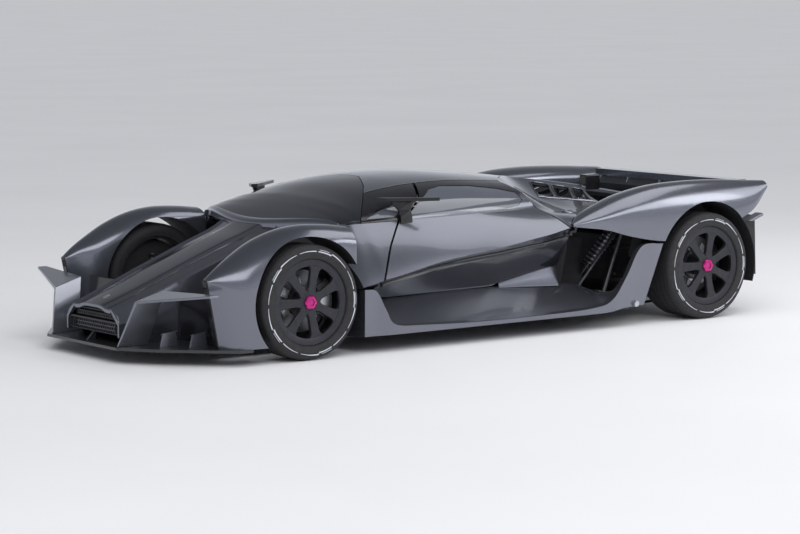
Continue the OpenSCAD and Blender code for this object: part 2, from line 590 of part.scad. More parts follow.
pin_r = 14;
hub_bore_r = 26;
fit_gap = 0.06;
module tyre(r, w) {
  rotate_extrude($fn = 96) polygon([
    [rim_r, -w / 2 + 14], [rim_r + 16, -w / 2 + 4], [r - 46, -w / 2], [r - 14, -w / 2 + 12], [r, -w / 2 + 34],
    [r, w / 2 - 34], [r - 14, w / 2 - 12], [r - 46, w / 2], [rim_r + 16, w / 2 - 4], [rim_r, w / 2 - 14]]);
}
module wheel(w) {
  face = w / 2 - 18;
  difference() {
    union() {
      rotate_extrude($fn = 96) polygon([
        [rim_r - seat_gap, -w / 2 + 16], [rim_r - seat_gap, face - 2], [rim_r - 4, face], [rim_r - 44, face - 6],
        [rim_r - 44, face - 26], [rim_r - 12, face - 30], [rim_r - 12, -w / 2 + 16]]);
      for (i = [0 : spoke_count - 1]) rotate([0, 0, i * 360 / spoke_count]) translate([0, 0, face - 34])
        linear_extrude(26) polygon([[50, -24], [rim_r - 30, -36], [rim_r - 30, 36], [50, 24]]);
      translate([0, 0, face - 52]) cylinder(r = 74, h = 50);
      translate([0, 0, face - 3]) cylinder(r = 40, h = 16, $fn = 8);
      cylinder(r = 70, h = face - 50);
      translate([0, 0, -disc_t]) cylinder(r = disc_r, h = disc_t, $fn = 72);
    }
    translate([0, 0, -disc_t - 1]) cylinder(r = hub_bore_r, h = disc_t + face - 8);
  }
}
module at_wheel(x, y, z, s) {
  translate([x, s * y, z]) rotate([-s * 90, 0, 0]) children();
}
module tyre_front_left() {
  color("#17181a") at_wheel(front_axle_x, wheel_f_y, tyre_f_r, 1) tyre(tyre_f_r, tyre_f_w);
}
module tyre_front_right() {
  color("#17181a") at_wheel(front_axle_x, wheel_f_y, tyre_f_r, -1) tyre(tyre_f_r, tyre_f_w);
}
module tyre_rear_left() {
  color("#17181a") at_wheel(rear_axle_x, wheel_r_y, tyre_r_r, 1) tyre(tyre_r_r, tyre_r_w);
}
module tyre_rear_right() {
  color("#17181a") at_wheel(rear_axle_x, wheel_r_y, tyre_r_r, -1) tyre(tyre_r_r, tyre_r_w);
}
module wheel_front_left() {
  color("#3a3c42") at_wheel(front_axle_x, wheel_f_y, tyre_f_r, 1) wheel(tyre_f_w);
}
module wheel_front_right() {
  color("#3a3c42") at_wheel(front_axle_x, wheel_f_y, tyre_f_r, -1) wheel(tyre_f_w);
}
module wheel_rear_left() {
  color("#3a3c42") at_wheel(rear_axle_x, wheel_r_y, tyre_r_r, 1) wheel(tyre_r_w);
}
module wheel_rear_right() {
  color("#3a3c42") at_wheel(rear_axle_x, wheel_r_y, tyre_r_r, -1) wheel(tyre_r_w);
}
// Stub axle and upright, in the wheel's own axes: Z out along the axle.
module stub(reach) {
  translate([0, 0, knuckle_back(0)]) cylinder(r = hub_bore_r - fit_gap, h = reach - knuckle_back(0));
}
knuckle_plate = 26; // thickness of the upright
function knuckle_back(w) = -disc_t - 20 - knuckle_plate;
module knuckle() {
  back = knuckle_back(0);
  stub(tyre_f_w / 2 - 60);
  translate([0, 0, back]) cylinder(r = 62, h = knuckle_plate);
  translate([0, 0, back]) linear_extrude(knuckle_plate) polygon([[-30, -120], [30, -120], [30, 120], [-30, 120]]);
  translate([0, 0, back]) linear_extrude(knuckle_plate) polygon([[0, -50], [disc_r - 40, -60], [disc_r - 40, 60], [0, 50]]);
  translate([0, 150, back + knuckle_plate / 2]) rotate([90, 0, 0]) cylinder(r = pin_r - fit_gap, h = 300);
  caliper();
}
// Brake caliper straddling the disc's rear edge.
module caliper() {
  difference() {
    rotate([0, 0, -35]) rotate_extrude(angle = 70, $fn = 72) translate([disc_r - 60, -disc_t - 26]) square([86, disc_t + 50]);
    translate([0, 0, -disc_t - 6]) cylinder(r = disc_r + 6, h = disc_t + 12, $fn = 72);
  }
}
module knuckle_left() {
  color("#9a9da3") at_wheel(front_axle_x, wheel_f_y, tyre_f_r, 1) rotate([0, 0, 180]) knuckle();
}
module knuckle_right() {
  color("#9a9da3") at_wheel(front_axle_x, wheel_f_y, tyre_f_r, -1) rotate([0, 0, 180]) knuckle();
}
front_pin_y = wheel_f_y + knuckle_back(0) + knuckle_plate / 2;
// Round rod from point p to point q.
module rod(p, q, r) {
  d = q - p;
  translate(p) rotate([0, acos(d.z / norm(d)), atan2(d.y, d.x)]) cylinder(r = r, h = norm(d), $fn = 24);
}
// Wishbone: flat arms from the chassis at y0 to the eye on the pin at y1.
module arm_set(x, z, y0, y1, spread) {
  difference() {
    union() {
      translate([x, y1, z - 10]) cylinder(r = pin_r + 12, h = 20, $fn = 40);
      for (k = [-1, 1]) plan_plate([[x + k * 6, y1 - 10], [x + k * 24, y1 - 10], [x + k * (spread + 9), y0],
        [x + k * (spread - 9), y0]], z - 8, z + 8);
    }
    translate([x, y1, z - 60]) cylinder(r = pin_r, h = 120);
  }
}
module front_wishbones() {
  color("#8d9096") left_right() {
    for (k = [-1, 1]) let (z = tyre_f_r + k * 138)
      arm_set(front_axle_x, z, nose_side(front_axle_x - 129, z - 8) + 3 * seat_gap, front_pin_y, 120);
  }
}
rear_pin_y = wheel_r_y + knuckle_back(0) + knuckle_plate / 2;
module rear_wishbones() {
  color("#8d9096") left_right() {
    at_wheel(rear_axle_x, wheel_r_y, tyre_r_r, 1) rotate([0, 0, 180]) {
      stub(tyre_r_w / 2 - 60);
      translate([0, 0, knuckle_back(0)]) cylinder(r = 70, h = knuckle_plate);
      translate([0, 0, knuckle_back(0)]) linear_extrude(knuckle_plate) polygon([[-34, -150], [34, -150], [34, 150], [-34, 150]]);
      translate([0, 0, knuckle_back(0)]) linear_extrude(knuckle_plate)
        polygon([[0, -50], [disc_r - 40, -60], [disc_r - 40, 60], [0, 50]]);
      caliper();
    }
    for (k = [-1, 1], x = [-1550 + shift_r, -1990 + shift_r]) {
      rod([rear_axle_x, rear_pin_y, tyre_r_r + k * 120], [x, rail_y + 52, tyre_r_r + k * 90], 11);
      translate([x, rail_y + 34 + 18.4, tyre_r_r + k * 90]) sphere(r = 18, $fn = 24);
    }
    translate([rear_axle_x, rail_y, tyre_r_r]) rotate([-90, 0, 0]) cylinder(r = 24, h = rear_pin_y - rail_y);
  }
}

floor_pan();
battery_pack();
front_splitter();
nose();
nose_grille();
winglets();
headlamps();
front_fender_left();
front_fender_right();
tub();
scuttle();
windscreen();
screen_frame();
roof_panel();
quarter_panels();
quarter_lights();
cheeks();
door_left();
door_right();
door_glass_left();
door_glass_right();
mirror_left();
mirror_right();
side_sill_left();
side_sill_right();
rear_fender_left();
rear_fender_right();
rear_deck();
rear_frame();
tail_wing();
tail_panel();
tail_lamp();
rear_diffuser();
drive_unit();
seats();
dashboard();
steering_wheel();
front_wishbones();
rear_wishbones();
knuckle_left();
knuckle_right();
tyre_front_left();
tyre_front_right();
tyre_rear_left();
tyre_rear_right();
wheel_front_left();
wheel_front_right();
wheel_rear_left();
wheel_rear_right();
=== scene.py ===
"""Looks of an electric hypercar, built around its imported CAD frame.

The tables and the functions that read them repeat the part's source, in millimetres, so that every
panel here is the CAD panel with more rows. mesh_piece() turns millimetres into metres.
"""
import math
import random

import bmesh
import bpy
import numpy as np
from mathutils import Matrix, Vector
from mathutils.bvhtree import BVHTree


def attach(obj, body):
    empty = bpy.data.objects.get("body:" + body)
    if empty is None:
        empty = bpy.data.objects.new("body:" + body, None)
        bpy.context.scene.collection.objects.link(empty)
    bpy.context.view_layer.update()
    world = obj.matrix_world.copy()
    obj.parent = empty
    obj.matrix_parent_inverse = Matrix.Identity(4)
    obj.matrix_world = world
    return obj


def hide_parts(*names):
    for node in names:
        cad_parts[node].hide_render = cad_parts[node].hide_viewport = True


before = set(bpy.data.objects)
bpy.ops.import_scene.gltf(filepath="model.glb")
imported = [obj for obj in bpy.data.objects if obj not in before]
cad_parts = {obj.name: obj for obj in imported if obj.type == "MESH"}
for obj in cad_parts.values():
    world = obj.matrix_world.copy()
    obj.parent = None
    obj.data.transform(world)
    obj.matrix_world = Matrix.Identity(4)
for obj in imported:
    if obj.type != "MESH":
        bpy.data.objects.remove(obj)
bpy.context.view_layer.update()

MM = 0.001
random.seed(7)

# ---------------------------------------------------------------- sizes, as in the part's source (mm)

wheelbase = 3200
front_axle_x = 1390
rear_axle_x = front_axle_x - wheelbase
tyre_f_r = 350
tyre_r_r = 355
tyre_f_w = 255
tyre_r_w = 325
tyre_out_y = 1022
wheel_f_y = tyre_out_y - tyre_f_w / 2
wheel_r_y = tyre_out_y - tyre_r_w / 2
arch_f_r = 396
arch_r_r = 430
panel_gap = 6
skin_t = 22
door_t = 70
glass_t = 6
seat_gap = 0.3
rim_r = 262
spoke_count = 7
disc_r = 190
disc_t = 34
floor_z = 82
floor_top = 100
tub_y = 690
wall_t = 22
bow_w = 30
cant_s = 0.60
belt_s = 0.999
canopy_n = 2.2
side_bulge = 16
shut_x = panel_gap + 5
rail_y = 300
tail_beam_x = -2178

# x, centre height, belt half width, belt height
CANOPY = [
    [1170, 772, 640, 770], [990, 852, 752, 772], [860, 905, 785, 772], [600, 975, 812, 771],
    [344, 1015, 820, 773], [0, 1026, 806, 776], [-350, 1003, 760, 780], [-680, 968, 690, 792],
    [-870, 944, 640, 800]]
# x, crease half width, crease height
CREASE = [
    [1000, 1004, 410], [830, 1004, 448], [400, 1000, 530], [-125, 985, 590], [-500, 962, 640],
    [-726, 940, 680]]
# height share v, front x, rear x
DOOR = [[0, 235, -470], [0.5, 368, -506], [1, 585, -560], [1.5, 722, -615], [2, 831, -672]]
# x, top height, ridge half width, shoulder half width, shoulder drop, side half width
NOSE = [
    [2316, 318, 120, 225, 16, 318], [2214, 358, 130, 240, 20, 330], [2050, 420, 135, 262, 24, 335],
    [1850, 500, 135, 280, 28, 335], [1650, 578, 135, 285, 30, 335], [1450, 655, 140, 290, 30, 335],
    [1290, 712, 148, 298, 30, 340], [1178, 760, 160, 320, 26, 350]]
# x, lean, inner y, crest y, outer y, crest height, inner drop, outer drop
FENDER = [
    [2040, 84, 826, 852, 880, 520, 10, 12], [1965, 60, 796, 852, 950, 578, 60, 120],
    [1860, 30, 745, 848, 1000, 645, 110, 200], [1720, 8, 715, 846, 1018, 722, 120, 230],
    [1560, 0, 704, 846, 1022, 779, 110, 200], [1390, 0, 700, 848, 1022, 806, 90, 150],
    [1210, 0, 700, 850, 1020, 803, 80, 120], [1052, 0, 705, 848, 1010, 786, 70, 120]]
# x, lean, lip y, lip height, lip width, inner y, inner height, underside
SILL = [
    [985, 0, 1000, 395.7, 190, 770.3, 397.9, 90], [900, 0, 1003, 380, 160, 770.3, 386, 90],
    [835, 0, 1014, 260, 70, 770.3, 330, 90], [770, 0, 1019, 170, 24, 770.3, 304, 90],
    [560, 0, 1020, 150, 18, 770.3, 302, 90], [100, 0, 1020, 134, 18, 770.3, 312, 90],
    [-400, 0, 1020, 134, 18, 770.3, 306, 90], [-800, 0, 1020, 146, 20, 770.3, 290, 90],
    [-960, -10, 1020, 190, 28, 790, 240, 94], [-1070, -30, 1012, 340, 36, 850, 196, 110],
    [-1160, -70, 1004, 520, 42, 890, 176, 114], [-1240, -180, 1000, 528, 44, 900, 160, 118]]
# x, inner y, crest y, outer y, crest height, inner drop, outer drop, inner underside, outer underside
REAR = [
    [-706, 916, 924, 942, 696, 8, 12, 680, 674], [-806, 834, 868, 962, 742, 24, 50, 690, 662],
    [-960, 768, 856, 984, 796, 40, 90, 660, 640],
    [-1160, 724, 860, 1008, 858, 60, 130, 620, 586], [-1400, 704, 868, 1022, 903, 80, 180, 600, 546],
    [-1640, 700, 872, 1024, 918, 90, 200, 600, 546], [-1880, 702, 876, 1022, 918, 90, 200, 620, 560],
    [-2100, 712, 880, 1012, 909, 90, 180, 680, 650], [-2250, 724, 884, 992, 899, 80, 140, 700, 715],
    [-2400, 738, 888, 950, 890, 30, 40, 842, 838]]
SEAM = [[0, 389], [0.13, 398], [0.43, 535], [0.7, 690], [belt_s, 862]]
SPINE = [[-905, 44, 934, 900], [-1200, 42, 900, 866], [-1532, 34, 851, 815], [-1975, 24, 772, 748]]
QUARTER = [[828, 802], [624, 802], [440, 898], [560, 882], [700, 846]]
WINDOW = [
    [566, 804], [120, 804], [-300, 806], [-410, 818], [-468, 850], [-458, 896], [-330, 926],
    [-120, 954], [100, 964], [215, 950], [340, 905]]


# ---------------------------------------------------------------- curves and surfaces


def cr(a, b, c, d, t):
    """One Catmull-Rom step between b and c."""
    return 0.5 * ((2 * b) + (c - a) * t + (2 * a - 5 * b + 4 * c - d) * t * t + (3 * b - a - 3 * c + d) * t ** 3)


def finer(rows, k):
    """Rows of a table made finer, k steps between each pair."""
    r = np.array(rows, float)
    n = len(r)
    out = []
    for i in range(n - 1):
        a = r[i - 1] if i > 0 else 2 * r[0] - r[1]
        d = r[i + 2] if i < n - 2 else 2 * r[n - 1] - r[n - 2]
        out += [cr(a, r[i], r[i + 1], d, j / k) for j in range(k)]
    return out + [r[n - 1]]


def at_x(rows, x):
    """Row of a table at station x; tables run from front to rear."""
    r = np.array(rows, float)
    last = len(r) - 1
    i = next((i for i in range(last) if r[i + 1][0] <= x <= r[i][0]), 0 if x > r[0][0] else last - 1)
    a = r[i - 1] if i > 0 else 2 * r[0] - r[1]
    d = r[i + 2] if i < last - 1 else 2 * r[last] - r[last - 1]
    return cr(a, r[i], r[i + 1], d, (x - r[i][0]) / (r[i + 1][0] - r[i][0]))


def lookup(v, rows):
    """Straight interpolation in a table of pairs, held level past its ends."""
    return float(np.interp(v, [q[0] for q in rows], [q[1] for q in rows]))


def rise(p, q, n):
    """Quarter of an ellipse from p, upright there, to q, level there."""
    return [(p[0] + (q[0] - p[0]) * (1 - math.cos(a)), p[1] + (q[1] - p[1]) * math.sin(a))
            for a in (math.pi / 2 * i / n for i in range(n + 1))]


def unit(v):
    v = np.array(v, float)
    return v / np.linalg.norm(v)


def canopy(x, s):
    """Point on the canopy at station x and share s of the belt half width."""
    c = at_x(CANOPY, x)
    return np.array([x, c[2] * s, c[3] + (c[1] - c[3]) * max(0, 1 - abs(s) ** canopy_n) ** (1 / canopy_n)])


def canopy_in(x, s):
    """Inward direction on the canopy."""
    a = canopy(x, max(-belt_s, s - 0.01))
    b = canopy(x, min(belt_s, s + 0.01))
    return unit([0, b[2] - a[2], a[1] - b[1]])


def share(v):
    return cant_s + (belt_s - cant_s) * math.sin(math.radians(90 * v))


def flank(x, v):
    """Point on the car's side: v from 0 at the cant rail, over 1 at the belt, to 2 at the crease."""
    if v <= 1:
        return canopy(x, share(v))
    k = at_x(CREASE, x)
    b = canopy(x, belt_s)
    t = v - 1
    return b + (np.array([x, k[1], k[2]]) - b) * t + np.array([0, side_bulge, side_bulge]) * 4 * t * (1 - t) / 1.41


def door_front(v):
    return lookup(v, [[r[0], r[1]] for r in DOOR])


def door_rear(v):
    return lookup(v, [[r[0], r[2]] for r in DOOR])


def seam(s):
    return lookup(abs(s), SEAM)


def glass_front(s):
    return 1150 - 150 * s * s


def roof_end(s):
    return lookup(abs(s), [[0, -866], [cant_s, -470]])


def fender_face(z):
    """Leading face of the front fender at height z."""
    return FENDER[0][0] - FENDER[0][1] * (FENDER[0][5] - z) / (FENDER[0][5] - floor_top - seat_gap)


# ---------------------------------------------------------------- meshes


def loft(rings, caps=True):
    """Closed skin through rings of equal length."""
    n, m = len(rings[0]), len(rings)
    verts = [p for r in rings for p in r]
    faces = [(i * n + j, i * n + (j + 1) % n, (i + 1) * n + (j + 1) % n, (i + 1) * n + j)
             for i in range(m - 1) for j in range(n)]
    if caps:
        faces += [tuple(range(n - 1, -1, -1)), tuple(range((m - 1) * n, m * n))]
    return verts, faces


def panel(grid, t):
    """Thick panel: a grid of outer points, set in by t square to the surface as seen along X."""
    g = np.array(grid, float)
    m, n = g.shape[:2]
    normal = np.zeros_like(g)
    for i in range(m):
        for j in range(n):
            v = np.cross(g[min(i + 1, m - 1)][j] - g[max(i - 1, 0)][j], g[i][min(j + 1, n - 1)] - g[i][max(j - 1, 0)])
            normal[i][j] = unit([0, v[1], v[2]])
    inner = g - t * normal
    k = m * n
    verts = list(g.reshape(-1, 3)) + list(inner.reshape(-1, 3))
    quads = [(i * n + j, i * n + j + 1, (i + 1) * n + j + 1, (i + 1) * n + j) for i in range(m - 1) for j in range(n - 1)]
    rim = [(j + 1, j) for j in range(n - 1)] + [(i * n, (i + 1) * n) for i in range(m - 1)]
    rim += [((m - 1) * n + j, (m - 1) * n + j + 1) for j in range(n - 1)]
    rim += [((i + 2) * n - 1, (i + 1) * n - 1) for i in range(m - 2, -1, -1)]
    faces = [q[::-1] for q in quads] + [tuple(c + k for c in q) for q in quads]
    faces += [(a, a + k, b + k, b) for a, b in rim]
    return verts, faces


def prism(points, y0, y1):
    """Plate with its outline in the side view (x, z), from y0 to y1."""
    n = len(points)
    verts = [(x, y, z) for y in (y0, y1) for x, z in points]
    return verts, [tuple(range(n)), tuple(range(2 * n - 1, n - 1, -1))] + [
        (i, i + n, (i + 1) % n + n, (i + 1) % n) for i in range(n)]


def plate(points, z0, z1):
    """Plate with its outline in the plan view (x, y), from z0 to z1."""
    n = len(points)
    verts = [(x, y, z) for z in (z0, z1) for x, y in points]
    return verts, [tuple(range(n)), tuple(range(2 * n - 1, n - 1, -1))] + [
        (i, i + n, (i + 1) % n + n, (i + 1) % n) for i in range(n)]


def cylinder(p, q, r, n=48, r2=None):
    """Closed round bar from p to q."""
    p, q = np.array(p, float), np.array(q, float)
    d = unit(q - p)
    u = unit(np.cross(d, [0, 0, 1] if abs(d[2]) < 0.9 else [1, 0, 0]))
    v = np.cross(d, u)
    ring = lambda c, r: [c + r * (math.cos(a) * u + math.sin(a) * v) for a in (2 * math.pi * i / n for i in range(n))]
    return loft([ring(p, r), ring(q, r if r2 is None else r2)])


def revolve(profile, n=96):
    """Closed profile of (radius, height) pairs turned about Z."""
    return loft_ring([[(r * math.cos(a), r * math.sin(a), h) for r, h in profile]
                      for a in (2 * math.pi * i / n for i in range(n))])


def loft_ring(rings):
    """Skin through rings that close on the first one."""
    n, m = len(rings[0]), len(rings)
    verts = [p for r in rings for p in r]
    return verts, [(i * n + j, i * n + (j + 1) % n, (i + 1) % m * n + (j + 1) % n, (i + 1) % m * n + j)
                   for i in range(m) for j in range(n)]


def tube(path, r, n=12, close=False):
    """Round tube along a path of points."""
    p = [np.array(q, float) for q in path]
    m = len(p)
    rings = []
    u = None
    for i in range(m):
        a, b = (p[i - 1] if i > 0 or close else p[i]), (p[(i + 1) % m] if i < m - 1 or close else p[i])
        d = unit(b - a)
        if u is None:
            u = unit(np.cross(d, [0, 0, 1] if abs(d[2]) < 0.9 else [1, 0, 0]))
        u = unit(u - d * np.dot(u, d))
        v = np.cross(d, u)
        rings.append([p[i] + r * (math.cos(t) * u + math.sin(t) * v) for t in (2 * math.pi * k / n for k in range(n))])
    return loft_ring(rings) if close else loft(rings)


def join(*parts):
    """Several (verts, faces) pairs as one."""
    verts, faces = [], []
    for v, f in parts:
        k = len(verts)
        verts += list(v)
        faces += [tuple(c + k for c in q) for q in f]
    return verts, faces


def moved(shape, fn):
    return [fn(p) for p in shape[0]], shape[1]


def mirrored(shape):
    return [(p[0], -p[1], p[2]) for p in shape[0]], [q[::-1] for q in shape[1]]


def both(shape):
    return join(shape, mirrored(shape))


def wheel_axes(x, y, z, s):
    """Maps a wheel's own axes, Z out along the axle, into the car."""
    return lambda p: (x + p[0], s * (y + p[2]), z - p[1]) if s > 0 else (x + p[0], -(y + p[2]), z + p[1])


def build_mesh(name, shape, materials):
    mesh = bpy.data.meshes.new(name)
    mesh.from_pydata([tuple(float(c) * MM for c in p) for p in shape[0]], [], [tuple(int(c) for c in q) for q in shape[1]])
    bm = bmesh.new()
    bm.from_mesh(mesh)
    bmesh.ops.recalc_face_normals(bm, faces=bm.faces)
    bm.to_mesh(mesh)
    bm.free()
    for m in materials:
        mesh.materials.append(m)
    return mesh


def flip(mesh):
    """Mirrors a mesh to the other side of the car."""
    mesh.transform(Matrix.Diagonal((1, -1, 1, 1)))
    mesh.flip_normals()


def cut(mesh, cutters, operation="DIFFERENCE", index=None):
    """Boolean of a mesh with shapes; the cut faces take the material slot given by index."""
    tmp = bpy.data.objects.new("tmp", mesh)
    bpy.context.collection.objects.link(tmp)
    tools = []
    for c in cutters:
        cm = build_mesh("tool", c, list(mesh.materials))
        if index is not None:
            cm.polygons.foreach_set("material_index", [index] * len(cm.polygons))
        t = bpy.data.objects.new("tool", cm)
        bpy.context.collection.objects.link(t)
        b = tmp.modifiers.new("b", "BOOLEAN")
        b.operation = operation
        b.solver = "EXACT"
        b.object = t
        tools.append(t)
    out = bpy.data.meshes.new_from_object(tmp.evaluated_get(bpy.context.evaluated_depsgraph_get()))
    for o in [tmp] + tools:
        old = o.data
        bpy.data.objects.remove(o)
        if old.users == 0:
            bpy.data.meshes.remove(old)
    return out


def show(name, mesh, body="chassis", replaces=(), slot=None, angle=32, bevel=0):
    """Puts a mesh in the scene as a piece that rides on a body."""
    mesh.name = name
    mesh.polygons.foreach_set("use_smooth", [True] * len(mesh.polygons))
    mesh.set_sharp_from_angle(angle=math.radians(angle))
    obj = bpy.data.objects.new(name, mesh)
    bpy.context.collection.objects.link(obj)
    if bevel:
        round_edges(obj, bevel)
    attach(obj, body)
    if replaces:
        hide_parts(*replaces)
    return obj


def round_edges(obj, width, segments=2):
    b = obj.modifiers.new("edges", "BEVEL")
    b.width = width * MM
    b.segments = segments
    b.limit_method = "ANGLE"
    b.angle_limit = math.radians(32)
    b.harden_normals = True
    return obj


def mesh_piece(name, shape, mat, **kw):
    return show(name, build_mesh(name, shape, mat if isinstance(mat, list) else [mat]), **kw)


# ---------------------------------------------------------------- materials


class Stuff:
    """A Principled material with helpers for procedural detail."""

    def __init__(self, name, colour, rough, metal=0.0, **inputs):
        self.m = bpy.data.materials.new(name)
        self.m.use_nodes = True
        self.t = self.m.node_tree
        self.b = self.t.nodes["Principled BSDF"]
        self.colour = colour
        self.b.inputs["Base Color"].default_value = (*colour, 1)
        self.b.inputs["Roughness"].default_value = rough
        self.b.inputs["Metallic"].default_value = metal
        self.rough = rough
        for k, v in inputs.items():
            self.b.inputs[k.replace("_", " ")].default_value = v
        self.co = self.t.nodes.new("ShaderNodeTexCoord").outputs["Object"]
        self.last_bump = None

    def node(self, kind, **inputs):
        n = self.t.nodes.new("ShaderNode" + kind)
        for k, v in inputs.items():
            k = k.replace("_", " ")
            if isinstance(v, bpy.types.NodeSocket):
                self.t.links.new(v, n.inputs[k])
            else:
                n.inputs[k].default_value = v
        return n

    def noise(self, scale, detail=3, stretch=None):
        co = self.co
        if stretch:
            co = self.node("Mapping", Vector=co, Scale=stretch).outputs[0]
        return self.node("TexNoise", Vector=co, Scale=scale, Detail=detail).outputs["Fac"]

    def ramp(self, fac, stops):
        n = self.node("ValToRGB", Fac=fac)
        e = n.color_ramp.elements
        while len(e) < len(stops):
            e.new(0.5)
        for el, (pos, c) in zip(e, stops):
            el.position = pos
            el.color = (*c, 1) if len(c) == 3 else c
        return n.outputs["Color"]

    def tint(self, fac, amount):
        """Base colour a little darker and lighter with fac."""
        lo = tuple(c * (1 - amount) for c in self.colour)
        hi = tuple(min(1, c * (1 + amount)) for c in self.colour)
        self.t.links.new(self.ramp(fac, [(0.3, lo), (0.7, hi)]), self.b.inputs["Base Color"])
        return self

    def rougher(self, fac, amount):
        n = self.node("MapRange", Value=fac)
        n.inputs["To Min"].default_value = max(0.02, self.rough - amount)
        n.inputs["To Max"].default_value = min(1, self.rough + amount)
        self.t.links.new(n.outputs[0], self.b.inputs["Roughness"])
        return self

    def bump(self, height, strength, distance=0.001):
        n = self.node("Bump", Height=height, Strength=strength, Distance=distance)
        if self.last_bump:
            self.t.links.new(self.last_bump, n.inputs["Normal"])
        self.last_bump = n.outputs[0]
        self.t.links.new(n.outputs[0], self.b.inputs["Normal"])
        return self


def paint(name, colour, rough=0.3, metal=0.85):
    s = Stuff(name, colour, rough, metal, Coat_Weight=0.7, Coat_Roughness=0.04)
    flake = s.noise(1400, 1)
    s.tint(flake, 0.16)
    s.rougher(s.noise(3, 2), 0.04)
    return s.bump(flake, 0.05, 0.0003).bump(s.noise(90, 1), 0.02, 0.0004).m


def carbon(name, colour=(0.018, 0.019, 0.022), cell=0.004):
    s = Stuff(name, colour, 0.34, 0.1, Coat_Weight=0.6, Coat_Roughness=0.07)
    turned = s.node("Mapping", Vector=s.co, Rotation=(0.5, 0.4, 0.785)).outputs[0]
    check = s.node("TexChecker", Vector=turned, Scale=1 / cell).outputs["Fac"]
    s.tint(check, 0.5)
    s.rougher(s.noise(6, 2), 0.05)
    return s.bump(check, 0.12, 0.0004).m


def plain(name, colour, rough, metal=0.0, grain=300, depth=0.15, vary=0.12, **inputs):
    s = Stuff(name, colour, rough, metal, **inputs)
    g = s.noise(grain, 4)
    s.tint(s.noise(grain / 8, 3), vary)
    s.rougher(g, 0.06)
    return s.bump(g, depth, 0.0005).m


BODY = paint("body_paint", (0.165, 0.173, 0.208), 0.25)
# Near-black copy of the body paint: a painted dark reflection, laid on the nose's upward faces
PAINTED_DARK_REFLECTION = paint("nose_painted_dark_reflection", (0.040, 0.042, 0.052), 0.2, 0.7)
# Near-black copy of the body paint: painted shade for the side wall under the door's lower edge
PAINTED_WALL_SHADE = paint("painted_wall_shade", (0.030, 0.032, 0.040), 0.22, 0.6)
WING = paint("wing_paint", (0.24, 0.25, 0.29), 0.28)
CARBON = carbon("carbon_weave")
BLACK = plain("gloss_black", (0.010, 0.010, 0.012), 0.14, 0.0, 40, 0.02, 0.3, Coat_Weight=0.2, Coat_Roughness=0.03,
              Specular_IOR_Level=0.4)
SATIN = plain("satin_black", (0.016, 0.017, 0.020), 0.45, 0.0, 500, 0.1, 0.25)
LINER = plain("arch_liner", (0.012, 0.012, 0.014), 0.8, 0.0, 250, 0.4, 0.3)
DARK_GLASS = plain("dark_glass", (0.018, 0.020, 0.026), 0.05, 0.0, 8, 0.01, 0.2, Coat_Weight=0.2, Coat_Roughness=0.02,
                   Specular_IOR_Level=0.4)
SIDE_GLASS = plain("side_glass", (0.085, 0.093, 0.115), 0.06, 0.0, 8, 0.01, 0.15, Coat_Weight=0.7, Coat_Roughness=0.02)
TRIM = plain("cabin_trim", (0.022, 0.023, 0.026), 0.7, 0.0, 900, 0.35, 0.3)
SEAT = plain("seat_fabric", (0.045, 0.047, 0.055), 0.85, 0.0, 1600, 0.5, 0.25, Sheen_Weight=0.25)
ALLOY = plain("bare_alloy", (0.52, 0.53, 0.56), 0.32, 0.95, 220, 0.15, 0.12)
STEEL = plain("dark_steel", (0.12, 0.122, 0.13), 0.38, 0.9, 260, 0.15, 0.15)
CASING = plain("casing", (0.045, 0.047, 0.052), 0.55, 0.4, 160, 0.3, 0.15)
RUBBER = plain("tyre_rubber", (0.016, 0.016, 0.018), 0.72, 0.0, 420, 0.35, 0.25)
RIM = plain("rim_satin", (0.030, 0.031, 0.037), 0.40, 0.5, 300, 0.08, 0.15)
NUT = plain("nut_magenta", (0.48, 0.011, 0.19), 0.24, 0.6, 120, 0.04, 0.12, Coat_Weight=0.5, Coat_Roughness=0.05)
MARK = plain("tyre_mark", (0.62, 0.64, 0.70), 0.45, 0.3, 300, 0.1, 0.1)
LAMP = plain("tail_red", (0.30, 0.008, 0.014), 0.2, 0.0, 200, 0.05, 0.15, Coat_Weight=0.6)
LED = plain("lamp_white", (0.80, 0.82, 0.88), 0.25, 0.0, 200, 0.05, 0.05)


def dress(node, mat, bevel=0.0, angle=32):
    """Gives a CAD node that stays its material, with softened edges."""
    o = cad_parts[node]
    for s in o.material_slots:
        s.material = mat
    if not o.material_slots:
        o.data.materials.append(mat)
    if bevel:
        round_edges(o, bevel)
    return o


# ---------------------------------------------------------------- seats

SEAT_SIDE = [(300, 100.3), (300, 240), (120, 204), (-180, 180), (-330, 290), (-500, 690), (-560, 690), (-440, 250), (-400, 100.3)]
SEAT_CORE = [(290, 100.3), (290, 190), (118, 160), (-190, 140), (-360, 270), (-522, 676), (-556, 684), (-440, 250), (-400, 100.3)]
BASE_PAD = [(291, 176), (292, 226), (120, 195), (-160, 172), (-172, 132), (118, 152)]
BACK_PAD = [(-196, 182), (-336, 288), (-504, 680), (-540, 672), (-384, 262), (-232, 146)]
seat_y = 250
seat_half = 215
pad_half = 186
pad_swell = 9
pad_voxel = 0.008


